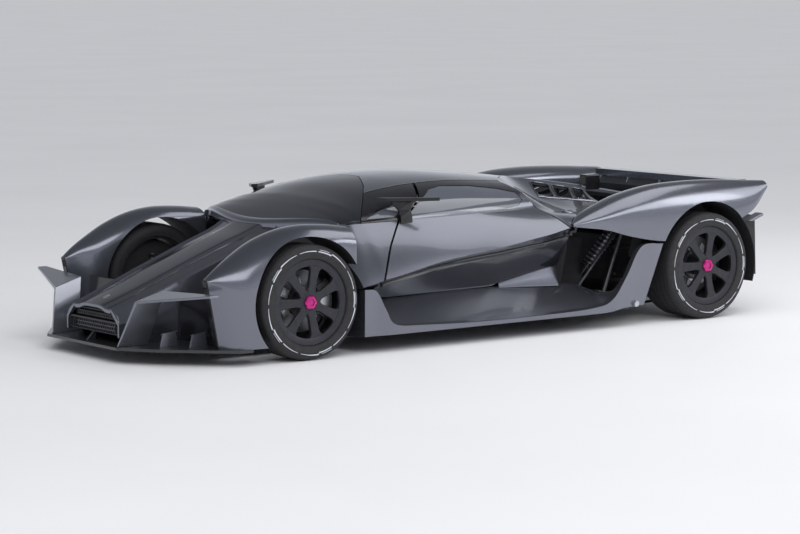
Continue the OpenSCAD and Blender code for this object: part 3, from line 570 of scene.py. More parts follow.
def puff(name, shape):
    """Closed shape, remeshed and swollen by cloth pressure, each point held to pad_swell."""
    obj = bpy.data.objects.new(name, build_mesh(name, shape, [SEAT]))
    bpy.context.collection.objects.link(obj)
    remesh = obj.modifiers.new("remesh", "REMESH")
    remesh.mode = "VOXEL"
    remesh.voxel_size = pad_voxel

    def settle():
        mesh = bpy.data.meshes.new_from_object(obj.evaluated_get(bpy.context.evaluated_depsgraph_get()))
        obj.modifiers.clear()
        obj.data = mesh

    settle()
    start = [v.co.copy() for v in obj.data.vertices]
    cloth = obj.modifiers.new("cloth", "CLOTH")
    cloth.collision_settings.use_collision = False
    cloth.settings.use_pressure = True
    cloth.settings.uniform_pressure_force = 4
    cloth.settings.effector_weights.gravity = 0
    for frame_no in range(1, 21):
        bpy.context.scene.frame_set(frame_no)
    settle()
    bpy.context.scene.frame_set(1)
    for v, old in zip(obj.data.vertices, start):
        step = v.co - old
        if step.length > pad_swell * MM:
            v.co = old + step.normalized() * pad_swell * MM
    obj.modifiers.new("fine", "SUBSURF").levels = 1
    settle()
    mesh = obj.data
    bpy.data.objects.remove(obj)
    if not mesh.materials:
        mesh.materials.append(SEAT)
    return mesh


def make_pad(name, outline, ahead):
    """Seat pad with sewn channels on the side that faces the sitter; ahead is that direction in (x, z)."""
    mesh = puff(name, prism(outline, seat_y - pad_half, seat_y + pad_half))
    facing = Vector((ahead[0], 0, ahead[1])).normalized()
    faces_sitter = [v.normal.dot(facing) > 0.5 for v in mesh.vertices]
    for v, sewn in zip(mesh.vertices, faces_sitter):
        if sewn:
            y = v.co.y / MM - seat_y
            sink = sum(math.exp(-((y - line) / 5) ** 2) for line in (-124, -74, -25, 25, 74, 124))
            v.co -= facing * min(1, sink) * 6 * MM
    other = mesh.copy()
    flip(other)
    for side, m in (("left", mesh), ("right", other)):
        show(name + "_" + side, m, slot="seat_fabric", angle=60)


def make_seats():
    shell = join(prism(SEAT_CORE, seat_y - seat_half + 14, seat_y + seat_half - 14),
                 prism(SEAT_SIDE, seat_y - seat_half, seat_y - seat_half + 20),
                 prism(SEAT_SIDE, seat_y + seat_half - 20, seat_y + seat_half))
    mesh_piece("seat_shells", both(shell), TRIM, replaces=["seats"], slot="seat_fabric", bevel=6)
    make_pad("base_pad", BASE_PAD, (0.1, 1))
    make_pad("back_pad", BACK_PAD, (0.92, 0.39))


make_seats()

# ---------------------------------------------------------------- nose


def nose_ring(r):
    """Section of the nose skin, from the left lower edge over the top to the right."""
    x, top, ridge, shoulder, drop, side = r[:6]
    low = 140 if x > 2200 else floor_top + seat_gap
    fade = float(np.clip(min((x - 1330) / 160, (2120 - x) / 120), 0, 1))
    deep = 9 * fade
    tip = float(np.clip((x - 1850) / 420, 0, 1))
    half = [(0, 0), (0.3 * ridge, -0.3), (0.6 * ridge, -1), (0.8 * ridge, -2 - tip), (ridge, -4 - 3 * tip), (ridge + 6, -7 - 3 * tip),
            (ridge + 13, -15 + 3 * tip), (ridge + 18, -20 + 6 * tip), (ridge + 20, -20.4 + 5 * tip - deep),
            (ridge + 34, -21.2 + 2 * tip - deep), (ridge + 37, -21.4 + tip),
            ((ridge + shoulder) / 2, -20 - 0.15 * drop), (shoulder - 18, -20 - 0.3 * drop), (shoulder, -0.6 * drop - 1),
            (shoulder + 7, -drop * 0.7 - 3), (shoulder + 22, -drop - 14)]
    z_mid = (low + top - drop) / 2
    z_top = top - drop - 14
    for f in (0.25, 0.5, 0.75, 1):
        half.append((shoulder + 22 + (side - shoulder - 22) * f, z_top + (z_mid - z_top) * f - top))
    for f in (0.33, 0.66, 1):
        half.append((side, z_mid + (low - z_mid) * f - top))
    left = [(x, y, top + z) for y, z in half]
    return left[::-1] + [(x, -y, z) for _, y, z in left[1:]]


def make_nose():
    m = build_mesh("nose", panel([nose_ring(r) for r in finer(NOSE, 8)], 16), [BODY, SATIN, PAINTED_DARK_REFLECTION])
    # Upward faces (normal z > 0.3) on the ridge and in the band beside it take the near-black paint: a painted dark
    # reflection of the room above, not the panel's own colour
    for q in m.polygons:
        row = at_x(NOSE, q.center.x / MM)
        y = abs(q.center.y) / MM
        if q.normal.z > 0.3 and (y < row[2] - 1 or row[2] + 34 < y < row[3] - 20):
            q.material_index = 2
    show("nose_skin", m, replaces=["nose"], slot="body", angle=26)


make_nose()


def make_nose_lip():
    """Rounded edge round the mouth of the nose."""
    half = [(0, 313), (60, 312.5), (118, 309), (160, 298), (222, 293), (262, 276), (296, 245), (309, 205), (311, 160), (311, 148)]
    path = [(2309, -y, z) for y, z in half[:0:-1]] + [(2309, y, z) for y, z in half]
    mesh_piece("nose_lip", tube(finer(path, 4), 7.5, 12), BODY, slot="body", angle=50)
    badge = [(2214 + 24 * math.cos(a), 17 * math.sin(a)) for a in (2 * math.pi * k / 32 for k in range(32))]
    mesh_piece("badge_plate", ([(x, y, 356.5 - (x - 2214) * 0.392 + h) for h in (0, 3) for x, y in badge],
                               [tuple(range(32)), tuple(range(63, 31, -1))] + [(i, i + 32, (i + 1) % 32 + 32, (i + 1) % 32) for i in range(32)]),
               ALLOY, slot="body")


make_nose_lip()


def hexagons(x0, y_half, z0, z1, pitch, wall, depth, keep):
    """Honeycomb walls across the mouth, as open hexagonal tubes."""
    parts = []
    rows = int((z1 - z0) / (pitch * 0.866)) + 1
    cols = int(2 * y_half / pitch) + 2
    for i in range(rows):
        for j in range(cols):
            y = -y_half + (j + 0.5 * (i % 2)) * pitch
            z = z0 + i * pitch * 0.866
            if not keep(y, z):
                continue
            ro, ri = pitch / 1.732 - 0.2, pitch / 1.732 - wall
            ring = [(math.sin(math.pi / 3 * k), math.cos(math.pi / 3 * k)) for k in range(6)]
            verts = [(x, y + r * a, z + r * b) for x, r in ((x0, ro), (x0, ri), (x0 - depth, ri), (x0 - depth, ro)) for a, b in ring]
            faces = [(k * 6 + q, k * 6 + (q + 1) % 6, (k + 1) % 4 * 6 + (q + 1) % 6, (k + 1) % 4 * 6 + q)
                     for k in range(4) for q in range(6)]
            parts.append((verts, faces))
    return join(*parts)


def make_grille():
    edge = lambda z: 305 if z < 225 else 305 - (z - 225) * 95 / 57
    comb = hexagons(2292, 300, 160, 280, 27, 3.4, 26, lambda y, z: abs(y) < edge(z) - 14 and abs(z - 222) > 15 and z < 276)
    mesh_piece("grille_comb", comb, STEEL, slot="gloss_black", angle=20)
    rim = [(2298, y, z) for y, z in [(-300, 152), (-300, 226), (-214, 286), (214, 286), (300, 226), (300, 152)]]
    bars = join(tube(rim, 6, 8, close=True), plate([(2268, -298), (2268, 298), (2304, 290), (2304, -290)], 216, 228))
    fins = both(join(*[plate([(2240, 236 + 22 * k), (2240, 242 + 22 * k), (2300, 246 + 22 * k), (2300, 241 + 22 * k)], 156, 212)
                       for k in range(3)]))
    mesh_piece("grille_frame", join(bars, fins), SATIN, slot="gloss_black", bevel=1.2)
    dress("nose_grille", SATIN, 1.5)
    mesh_piece("splitter_strut", prism([(2360, floor_top), (2300, floor_top), (2290, 150), (2312, 150)], -7, 7), CARBON,
               slot="carbon", bevel=1.5)


make_grille()

# ---------------------------------------------------------------- splitter and winglets


def make_winglets():
    frame_path = [
        [(2378, 407, 100.3), (2180, 427, 100.3), (2180, 413, 100.3), (2378, 393, 100.3)],
        [(2300, 498, 362), (2110, 506, 416), (2110, 494, 430), (2300, 484, 376)],
        [(2122, 1038, 432), (2060, 1038, 432), (2060, 1038, 446), (2122, 1038, 446)]]
    mesh_piece("winglet_frames", both(loft(frame_path)), WING, replaces=["winglets"], slot="wing", bevel=3)
    lips = join(tube([(2372, 405, 104), (2298, 499, 364), (2119, 1034, 436)], 3, 8))
    mesh_piece("winglet_lips", both(lips), WING, slot="wing")
    fins = []
    for x, y in ((2180, 560), (2060, 700)):
        fins.append(prism([(x - 125, 100.3), (x - 110, 188), (x - 20, 178), (x, 100.3)], y, y + 8))
        fins.append(loft([[(x - 122, y - 34, 176 + k), (x - 122, y + 8, 187 + k), (x - 14, y + 8, 176 + k), (x - 26, y - 30, 166 + k)]
                          for k in (0, 4)]))
    mesh_piece("winglet_fins", both(join(*fins)), WING, slot="wing", bevel=1)
    dress("front_splitter", CARBON, 4)
    back = [(1905, 345, 100.3), (1905, 738, 100.3), (1905, 742, 400), (1905, 345, 400)]
    duct = loft([back, [(x - 6, y, z) for x, y, z in back]])
    mesh_piece("duct_backs", both(duct), BLACK, slot="carbon", bevel=2)


make_winglets()

# ---------------------------------------------------------------- front fenders


def fender_ring(r):
    x, lean, inner, crest, outer, top, inner_drop, outer_drop = r
    low = floor_top + seat_gap
    h = top - low
    up = rise((inner, top - inner_drop), (crest, top), 10)
    down = rise((outer, top - outer_drop), (crest, top), 14)
    arc = up + down[-2::-1]
    legs_in = [(inner, low + (top - inner_drop - low) * f) for f in (0, 0.25, 0.5, 0.75)]
    legs_out = [(outer - 8 * (1 - f), low + (top - outer_drop - low) * f) for f in (0.75, 0.5, 0.25, 0)]
    return [(x - lean * (top - z) / h, y, z) for y, z in legs_in + arc + legs_out]


def make_front_fender(side, s):
    m = build_mesh("fender", loft([fender_ring(r) for r in finer(FENDER, 7)]), [BODY, LINER, BLACK])
    for q in m.polygons:
        if q.normal.x > 0.9 and q.center.x > 1.9:
            q.material_index = 2
    well = cylinder((front_axle_x, 650, tyre_f_r), (front_axle_x, 1080, tyre_f_r), arch_f_r, 128)
    box = plate([(1040, 650), (1040, 1070), (1500, 1070), (1500, 650)], 0, 250)
    m = cut(m, [well, box], index=1)
    if s < 0:
        flip(m)
    show("fender_front_" + side, m, replaces=["front_fender_" + side], slot="body", bevel=2)


for side, s in (("left", 1), ("right", -1)):
    make_front_fender(side, s)
dress("headlamps", BLACK, 1)

# ---------------------------------------------------------------- canopy


def make_windscreen():
    sh = [belt_s * math.sin(math.radians(90 * i / 32)) for i in range(-32, 33)][::-1]
    rows = [[canopy(glass_front(s) + (seam(s) + bow_w - glass_front(s)) * f, s) for s in sh] for f in np.linspace(0, 1, 22)]
    rows.append([canopy(seam(s) + panel_gap / 2, s) for s in sh])
    mesh_piece("windscreen_glass", panel(rows, glass_t), DARK_GLASS, replaces=["windscreen"], slot="dark_glass")


def make_cowl():
    """Painted skirt from the glass's lower edge down to the cowl."""
    rows = []
    for s in (belt_s * math.sin(math.radians(90 * i / 40)) for i in range(40, -41, -1)):
        x, (_, y, z) = glass_front(s), canopy(glass_front(s), s)
        d = 52 - 36 * s * s
        rows.append([(x - 3, y, z + 0.5), (x + 0.3 * d, y * 1.004, z - 2), (x + 0.7 * d, y * 1.008, z - 9), (x + 0.93 * d, y * 1.011, z - 20),
                     (x + d, y * 1.012, z - 34), (x + d + 1, y * 1.012, z - 62)])
    inner = [[(p[0] - 6, p[1], p[2] - 5) for p in r] for r in rows]
    mesh_piece("cowl_skirt", loft([a + b[::-1] for a, b in zip(rows, inner)]), BODY, slot="body", angle=40)


def make_roof():
    sh = [cant_s * i / 24 * 0.985 for i in range(24, -25, -1)]
    rows = [[canopy(seam(s) - panel_gap / 2, s) for s in sh]]
    rows += [[canopy(seam(s) - bow_w + (roof_end(s) - seam(s) + bow_w) * k / 28, s) for s in sh] for k in range(29)]
    mesh_piece("roof_skin", panel(rows, skin_t), [BODY], replaces=["roof_panel"], slot="body", bevel=1.5)


def quarter_skin(t, lower):
    rows = []
    for k in range(-1, 17):
        row = []
        for i in range(24, -1, -1):
            v = (i / 4 + 0.1) / 6.1
            sv = share(v)
            a = seam(sv) - bow_w
            b = door_front(v) + 2 * shut_x
            x = seam(sv) - panel_gap / 2 if k < 0 else a + (b - a) * k / 16
            row.append(canopy(x, sv) + lower * canopy_in(x, sv))
        rows.append(row)
    return panel(rows, t)


def inset(points, d):
    c = np.mean(points, axis=0)
    return [tuple(np.array(p) + d * unit(c - p)) for p in points]


def make_quarters():
    skin = cut(build_mesh("q", quarter_skin(skin_t, 0), [BLACK]), [prism(QUARTER, 500, 900)])
    glass = cut(build_mesh("q", quarter_skin(glass_t, 4), [SIDE_GLASS]), [prism(inset(QUARTER, 0.4), 500, 900)], "INTERSECT")
    for label, mesh, node, slot in (("quarter_skins", skin, "quarter_panels", "gloss_black"),
                                    ("quarter_glass", glass, "quarter_lights", "side_glass")):
        bm = bmesh.new()
        bm.from_mesh(mesh)
        other = mesh.copy()
        flip(other)
        bm.from_mesh(other)
        bm.to_mesh(mesh)
        bm.free()
        show(label, mesh, replaces=[node], slot=slot)


make_windscreen()
make_cowl()
make_roof()
make_quarters()
for node in ("screen_frame", "scuttle"):
    dress(node, SATIN)

# ---------------------------------------------------------------- cheeks and doors


def make_cheeks():
    rows = []
    for k in range(17):
        row = []
        for i in range(20, -1, -1):
            v = 1.01 + 0.99 * i / 20
            a, b = 1044, door_front(v) + 1.4 * shut_x
            row.append(flank(a + (b - a) * k / 16, v))
        rows.append(row)
    m = build_mesh("cheek", panel(rows, door_t), [BODY, LINER])
    well = cylinder((front_axle_x, 650, tyre_f_r), (front_axle_x, 1080, tyre_f_r), arch_f_r, 128)
    box = plate([(860, 700), (860, 1100), (1100, 1100), (1100, 700)], 300, 398.4)
    m = cut(m, [well, box], index=1)
    other = m.copy()
    flip(other)
    bm = bmesh.new()
    bm.from_mesh(m)
    bm.from_mesh(other)
    bm.to_mesh(m)
    bm.free()
    show("cheek_skins", m, replaces=["cheeks"], slot="body")


def door_rows(v0, v1, n, k_n=40, lower=0):
    rows = []
    for k in range(k_n + 1):
        row = []
        for i in range(n, -1, -1):
            v = v0 + (v1 - v0) * i / n
            x = door_front(v) + (door_rear(v) - door_front(v)) * k / k_n
            row.append(flank(x, v) + (lower * canopy_in(x, share(v)) if lower else 0))
        rows.append(row)
    return rows


ABOVE_WINDOW = [(700, 800), (340, 905), (215, 950), (100, 964), (-120, 954), (-330, 926), (-458, 896), (-474, 876),
                (-500, 892), (-488, 930), (-440, 1100), (700, 1100)]
hinge = np.array([-668, 938, 680.0])
hinge_dir = unit([0.1, -0.2, 0.97])


def make_door(side, s):
    pocket = plate([(499.7, 817.7), (499.7, 833.3), (590.3, 833.3), (590.3, 817.7)], 752, 812)
    upper = cut(build_mesh("u", panel(door_rows(0.02, 1, 24), skin_t), [BODY, TRIM]), [prism(WINDOW, 300, 900), pocket], index=1)
    black = cut(upper.copy(), [prism(ABOVE_WINDOW, 200, 900)], "INTERSECT")
    upper = cut(upper, [prism(ABOVE_WINDOW, 200, 900)])
    black.materials[0] = BLACK
    lower = cut(build_mesh("l", panel(door_rows(1.0, 2, 20), door_t), [BODY, TRIM]), [pocket], index=1)
    lug = join(cylinder(hinge - 59 * hinge_dir, hinge - 47 * hinge_dir, 11, 32),
               plate([(-668, 897), (-642, 897), (-642, 938), (-660, 946), (-668, 946)], 621, 630))
    bm = bmesh.new()
    lug = build_mesh("lug", lug, [BODY, TRIM])
    lug.polygons.foreach_set("material_index", [1] * len(lug.polygons))
    for m in (upper, lower, lug):
        bm.from_mesh(m)
    bm.to_mesh(upper)
    bm.free()
    glass = cut(build_mesh("g", panel(door_rows(0.02, 1, 24, lower=4), glass_t), [SIDE_GLASS]),
                [prism(inset(WINDOW, 0.4), 300, 900)], "INTERSECT")
    if s < 0:
        for m in (upper, black, glass):
            flip(m)
    body = side + "_door"
    show("door_skin_" + side, upper, body=body, replaces=["door_" + side], slot="body")
    show("door_band_" + side, black, body=body, slot="gloss_black")
    show("door_pane_" + side, glass, body=body, replaces=["door_glass_" + side], slot="side_glass")


make_cheeks()
for side, s in (("left", 1), ("right", -1)):
    make_door(side, s)
    dress("mirror_" + side, BLACK, 2)

# ---------------------------------------------------------------- side walls


def wall_top(x):
    """Upper edge of the side wall, tucked in behind the door's lower edge."""
    e, b = flank(x, 2), flank(x, 1.8)
    d = unit([0, e[1] - b[1], e[2] - b[2]])
    return e - np.array([0, -d[2], d[1]]) * (door_t + 8)


def make_side_walls():
    """Concave wall between the door's lower edge and the sill, with the tray's fillet under its rear half."""
    rows, lips, fillet = [], [], []
    for x in np.linspace(842, -700, 52):
        top = wall_top(max(x, -690))
        top[0] = x
        low_z = lookup(-x, [[-842, 331], [-700, 306], [152, 318], [314, 350], [570, 397], [700, 416]])
        low = np.array([x, 779, low_z])
        bend = np.array([x, 0.45 * top[1] + 0.55 * low[1], 0.34 * top[2] + 0.66 * low[2]])
        col = [(1 - f) ** 2 * top + 2 * f * (1 - f) * bend + f * f * low for f in np.linspace(0, 1, 14)]
        e, b = flank(max(x, -690), 2), flank(max(x, -690), 1.8)
        e[0] = b[0] = x
        col = [top + 0.35 * (b - e)] + col
        rows.append(col + [p + np.array([0, -10, -3]) for p in col[::-1]])
        lips.append(low + np.array([0, 2, -1]))
        in_z = at_x(SILL, x)[6]
        if x < -200:
            grow = min(1, (-x - 200) / 420)
            foot = np.array([x, 783 + 24 * grow, in_z + 3 - 6 * grow])
            fillet.append([low + np.array([0, 1, 0]), low * 0.5 + foot * 0.5 + np.array([0, -1, -1]), foot, foot + np.array([0, 0, -10]),
                           np.array([x, 774, in_z - 8])])
    # The whole wall takes the near-black paint: painted shade for the shadow under the door's crease
    mesh_piece("side_walls", both(loft(rows)), PAINTED_WALL_SHADE, slot="body", angle=40)
    mesh_piece("tray_fillets", both(loft(fillet)), BODY, slot="body", angle=40)
    end = [wall_top(-690) + np.array([-10, -6, -4]), np.array([-702, 850, 490]), np.array([-700, 775, 400]), np.array([-700, 775, 110])]
    back = [p + np.array([60, -150, 0]) for p in end]
    mesh_piece("bay_liners", both(loft([end + [p + np.array([8, 0, 0]) for p in end[::-1]], back + [p + np.array([8, 0, 0]) for p in back[::-1]]])),
               LINER, slot="carbon")


make_side_walls()

# ---------------------------------------------------------------- sills


def sill_ring(r):
    x, lean, lip_y, lip_z, lip_w, in_y, in_z, low = r
    in_y = max(770.3, in_y)
    mid = ((lip_y - lip_w + in_y) / 2, (lip_z + in_z) / 2 - (0.25 * (lip_z - in_z) if lean < -5 else 0))
    a, b = (lip_y - lip_w, lip_z + 2), (in_y + 2, in_z)
    top = []
    for f in np.linspace(0, 1, 11):
        p = cr(np.array([lip_y, lip_z]), np.array(a), np.array(mid), np.array(b), f * 2) if f < 0.5 else cr(
            np.array(a), np.array(mid), np.array(b), np.array(b) * 2 - np.array(mid), f * 2 - 1)
        top.append((x + lean * (1 - 0.7 * min(1, f * 2)) if f < 0.5 else x + lean * 0.3 * (2 - 2 * f), p[0], p[1]))
    side = [(x + lean * (0.1 + 0.9 * f), lip_y - 6 + 6 * f, low + 16 + (lip_z - low - 16) * f) for f in (0, 0.25, 0.5, 0.75, 1)]
    return [(x, in_y, low)] + side + [(x + lean, lip_y - 0.35 * lip_w, lip_z + 1.6)] + top


def make_sill(side, s):
    m = build_mesh("sill", loft([sill_ring(r) for r in finer(SILL, 6)]), [BODY])
    if s < 0:
        flip(m)
    show("sill_skin_" + side, m, replaces=["side_sill_" + side], slot="body")


for side, s in (("left", 1), ("right", -1)):
    make_sill(side, s)

# ---------------------------------------------------------------- rear body


def rear_ring(r):
    x, inner, crest, outer, top, inner_drop, outer_drop, in_low, out_low = r
    up = rise((inner, top - inner_drop), (crest, top), 10)
    down = rise((outer, top - outer_drop), (crest, top), 14)
    legs_in = [(inner, in_low + (top - inner_drop - in_low) * f) for f in (0, 0.5)]
    legs_out = [(outer - 4 * (1 - f), out_low + (top - outer_drop - out_low) * f) for f in (0.5, 0)]
    return [(x, y, z) for y, z in legs_in + up + down[-2::-1] + legs_out]


def make_rear_fender(side, s):
    m = build_mesh("rf", loft([rear_ring(r) for r in finer(REAR, 7)]), [BODY, LINER])
    m = cut(m, [cylinder((rear_axle_x, 650, tyre_r_r), (rear_axle_x, 1080, tyre_r_r), arch_r_r, 128)], index=1)
    bracket = join(prism([(-748, 690), (-716, 690), (-712, 652), (-672, 648), (-672, 638), (-722, 638)], 934, 942),
                   cylinder(hinge - 46 * hinge_dir, hinge - 36 * hinge_dir, 11, 32),
                   cylinder(hinge - 62 * hinge_dir, hinge - 46 * hinge_dir, 6, 24))
    bm = bmesh.new()
    bm.from_mesh(m)
    bracket = build_mesh("bracket", bracket, [BODY, LINER])
    bracket.polygons.foreach_set("material_index", [1] * len(bracket.polygons))
    bm.from_mesh(bracket)
    bm.to_mesh(m)
    bm.free()
    if s < 0:
        flip(m)
    show("fender_rear_" + side, m, replaces=["rear_fender_" + side], slot="body", bevel=2)


def deck_edge(s):
    return canopy(roof_end(s) - shut_x, s)


def deck_rows():
    rows = [
        [deck_edge(0.07), deck_edge(0.25), deck_edge(0.43), deck_edge(cant_s)]
        + [flank(door_rear(v) - shut_x, v) for v in (0.5, 1, 1.5, 2)],
        [[-960, 48, 929], [-930, 170, 868], [-890, 310, 812], [-860, 440, 783], [-840, 560, 762], [-825, 660, 746],
         [-815, 745, 738], [-808, 830, 728]],
        [[-1200, 46, 897], [-1190, 130, 838], [-1180, 250, 790], [-1175, 370, 760], [-1170, 480, 742],
         [-1165, 570, 730], [-1160, 640, 722], [-1160, 724, 716]],
        [[-1520, 40, 848], [-1510, 120, 792], [-1500, 230, 756], [-1490, 340, 738], [-1480, 450, 725],
         [-1470, 540, 715], [-1460, 620, 708], [-1450, 702, 702]]]
    out = []
    for r in finer(rows, 10):
        r = [np.array(p) for p in r]
        if r[-1][0] < -700:
            r[-1][1] = at_x(REAR, r[-1][0])[1] - 5
        out.append(finer(r, 4)[::-1])
    return out


def make_deck():
    skin = both(panel(deck_rows(), 14))
    spine = loft([[(r[0], -r[1], r[3]), (r[0], -r[1], r[2] - 8), (r[0], -0.75 * r[1], r[2] - 3), (r[0], 0, r[2]),
                   (r[0], 0.75 * r[1], r[2] - 3), (r[0], r[1], r[2] - 8), (r[0], r[1], r[3])] for r in finer(SPINE, 5)])
    pod = plate([(-1690, -38), (-1690, 38), (-1560, 38), (-1560, -38)], 812, 918)
    m = build_mesh("deck", skin, [BODY, SATIN])
    louvers = [[(-1030, 76), (-1196, 76), (-1118, 240), (-978, 240)], [(-1220, 76), (-1372, 76), (-1282, 240), (-1146, 240)],
               [(-1396, 76), (-1494, 76), (-1440, 240), (-1308, 240)]]
    tree = BVHTree.FromPolygons([v.co.copy() for v in m.vertices], [tuple(q.vertices) for q in m.polygons])

    def on_deck(x, y, lift=0.0):
        hit = tree.ray_cast(Vector((x * MM, y * MM, 2)), Vector((0, 0, -1)))[0]
        return (x, y, hit.z / MM + lift)

    rims = []
    for q in louvers:
        path = [np.array(a) + (np.array(b) - np.array(a)) * f for a, b in zip(q, q[1:] + q[:1]) for f in (0.06, 0.35, 0.65, 0.94)]
        rims.append(tube([on_deck(x, y, 1) for x, y in path], 5, 8, close=True))
    rims.append(tube([on_deck(x, 258, 1) for x in (-960, -1060, -1160, -1260, -1360, -1460)], 5, 8))
    m = cut(m, [plate(q, 600, 1000) for q in louvers] + [plate([(x, -y) for x, y in q], 600, 1000) for q in louvers], index=1)
    show("deck_skin", m, replaces=["rear_deck"], slot="body")
    mesh_piece("louver_rims", both(join(*rims)), BODY, slot="body")
    px, py, pz = on_deck(-888, 650)
    port = loft([[(px + r * 1.5 * math.cos(a), py + r * math.sin(a), pz + h) for a in (2 * math.pi * k / 32 for k in range(32))]
                 for r, h in ((38, -8), (36, 3), (30, 10), (22, 13), (20, 10), (18, 9))])
    mesh_piece("charge_port", both(port), BODY, slot="body", angle=50)
    mesh_piece("spine", spine, WING, slot="body", bevel=2)
    mesh_piece("spine_pod", pod, BLACK, slot="body", bevel=10)
    mesh_piece("bay_cover", plate([(-1505, -690), (-1505, 690), (-2150, 690), (-2150, -690)], 645, 650), SATIN, slot="carbon")
    ribs = [prism([(-2289, 846), (-2262, 846), (-2212, 742), (-2239, 742)], y - 5, y + 5) for y in (-640, -340, 0, 340, 640)]
    mesh_piece("wing_ribs", join(*ribs), WING, slot="body", bevel=2)
    mesh_piece("wing_backing", prism([(-2300, 846), (-2306, 846), (-2200, 780), (-2194, 780)], -700, 700), SATIN, slot="carbon")
    shell = [(r * math.cos(a), r * math.sin(a)) for r, turns in ((430, range(25)), (434, range(24, -1, -1)))
             for a in (math.radians(180 + 18 - 78 * k / 24) for k in turns)]
    mesh_piece("rear_liners", both(prism([(rear_axle_x + x, tyre_r_r + z) for x, z in shell], 692, 1000)), LINER, slot="carbon", angle=40)
    blade = [(-2262, 620), (-2300, 634), (-2399, 668), (-2399, 648), (-2310, 618)]
    mesh_piece("tail_blades", both(prism(blade, 838, 915)), WING, slot="wing", bevel=3)
    caps = both(cylinder((-1180, 995, 150), (-1180, 1018, 146), 20, 40))
    mesh_piece("sill_caps", caps, ALLOY, slot="body", bevel=3)
    liner = [(430 * math.cos(a), 430 * math.sin(a)) for a in (math.radians(8 + 164 * k / 30) for k in range(31))]
    core = [(252 * math.cos(a), 252 * math.sin(a)) for a in (math.radians(172 - 164 * k / 30) for k in range(31))]
    mesh_piece("arch_walls", both(prism([(rear_axle_x + x, tyre_r_r + z) for x, z in liner + core], 686, 690)), LINER, slot="carbon")


for side, s in (("left", 1), ("right", -1)):
    make_rear_fender(side, s)
make_deck()


def make_springs():
    """Inboard coil-overs and frame struts in the opening ahead of each rear wheel."""
    top, low = np.array([-1323.0, 610, 602]), np.array([-1165.0, 462, 300])
    d = unit(low - top)
    u = unit(np.cross(d, [0, 0, 1]))
    v = np.cross(d, u)
    length = float(np.linalg.norm(low - top))
    coil = [top + d * (50 + (length - 130) * k / 120) + 36 * (math.cos(k * 0.42) * u + math.sin(k * 0.42) * v) for k in range(121)]
    rods = [cylinder(top, low, 9, 20), cylinder(top + d * 30, top + d * 160, 20, 24), cylinder(low - d * 70, low - d * 60, 46, 32),
            cylinder(top + d * 40, top + d * 50, 46, 32), cylinder((-1323, 700, 612), (-1120, 700, 102), 13, 20),
            cylinder((-1323, 660, 612), (-820, 682, 108), 11, 20)]
    mesh_piece("coil_springs", both(tube(coil, 6.5, 10)), ALLOY, slot="bare_alloy")
    mesh_piece("spring_rods", both(join(*rods)), STEEL, slot="bare_alloy")


make_springs()
dress("tail_wing", BODY, 5)
dress("tail_panel", BLACK, 2)
dress("tail_lamp", LAMP, 2)
dress("rear_diffuser", CARBON, 2)
for node in ("rear_frame", "tub", "floor_pan", "dashboard"):
    dress(node, {"dashboard": TRIM, "tub": CARBON, "floor_pan": CARBON}.get(node, SATIN), 2)
dress("battery_pack", CASING, 6)
dress("drive_unit", CASING, 12)
dress("steering_wheel", TRIM, 2)
dress("front_wishbones", STEEL, 1.5)
dress("rear_wishbones", STEEL, 1.5)
dress("knuckle_left", ALLOY, 2)
dress("knuckle_right", ALLOY, 2)

# ---------------------------------------------------------------- wheels and tyres


def wheel_shape(w):
    face = w / 2 - 18
    rim = revolve([
        (rim_r - 0.3, -w / 2 + 16), (rim_r - 0.3, face - 2), (rim_r - 4, face), (rim_r - 14, face - 1), (rim_r - 30, face - 3),
        (rim_r - 44, face - 7), (rim_r - 44, face - 26), (rim_r - 12, face - 30), (rim_r - 12, -w / 2 + 16)], 128)
    spokes = []
    for i in range(spoke_count):
        a = 2 * math.pi * i / spoke_count
        rows = []
        for r, half, drop in ((46, 24, 2), (73, 33, 4), (78, 28, 4), (88, 25, 4), (130, 27, 7), (180, 30, 8), (198, 34, 8), (208, 42, 8),
                              (214, 52, 8), (rim_r - 43, 66, 9), (rim_r - 30, 66, 9)):
            rows.append([(r * math.cos(a) - t * math.sin(a), r * math.sin(a) + t * math.cos(a), z)
                         for t, z in ((-half, face - 34), (-half, face - drop - 4), (-half + 4, face - drop), (half - 4, face - drop),
                                      (half, face - drop - 4), (half, face - 34))])
        spokes.append(loft(rows))
    hub = cylinder((0, 0, -disc_t), (0, 0, face - 50), 70, 64)
    boss = cylinder((0, 0, face - 52), (0, 0, face - 4), 74, 64, 66)
    return rim, spokes, hub, boss, face


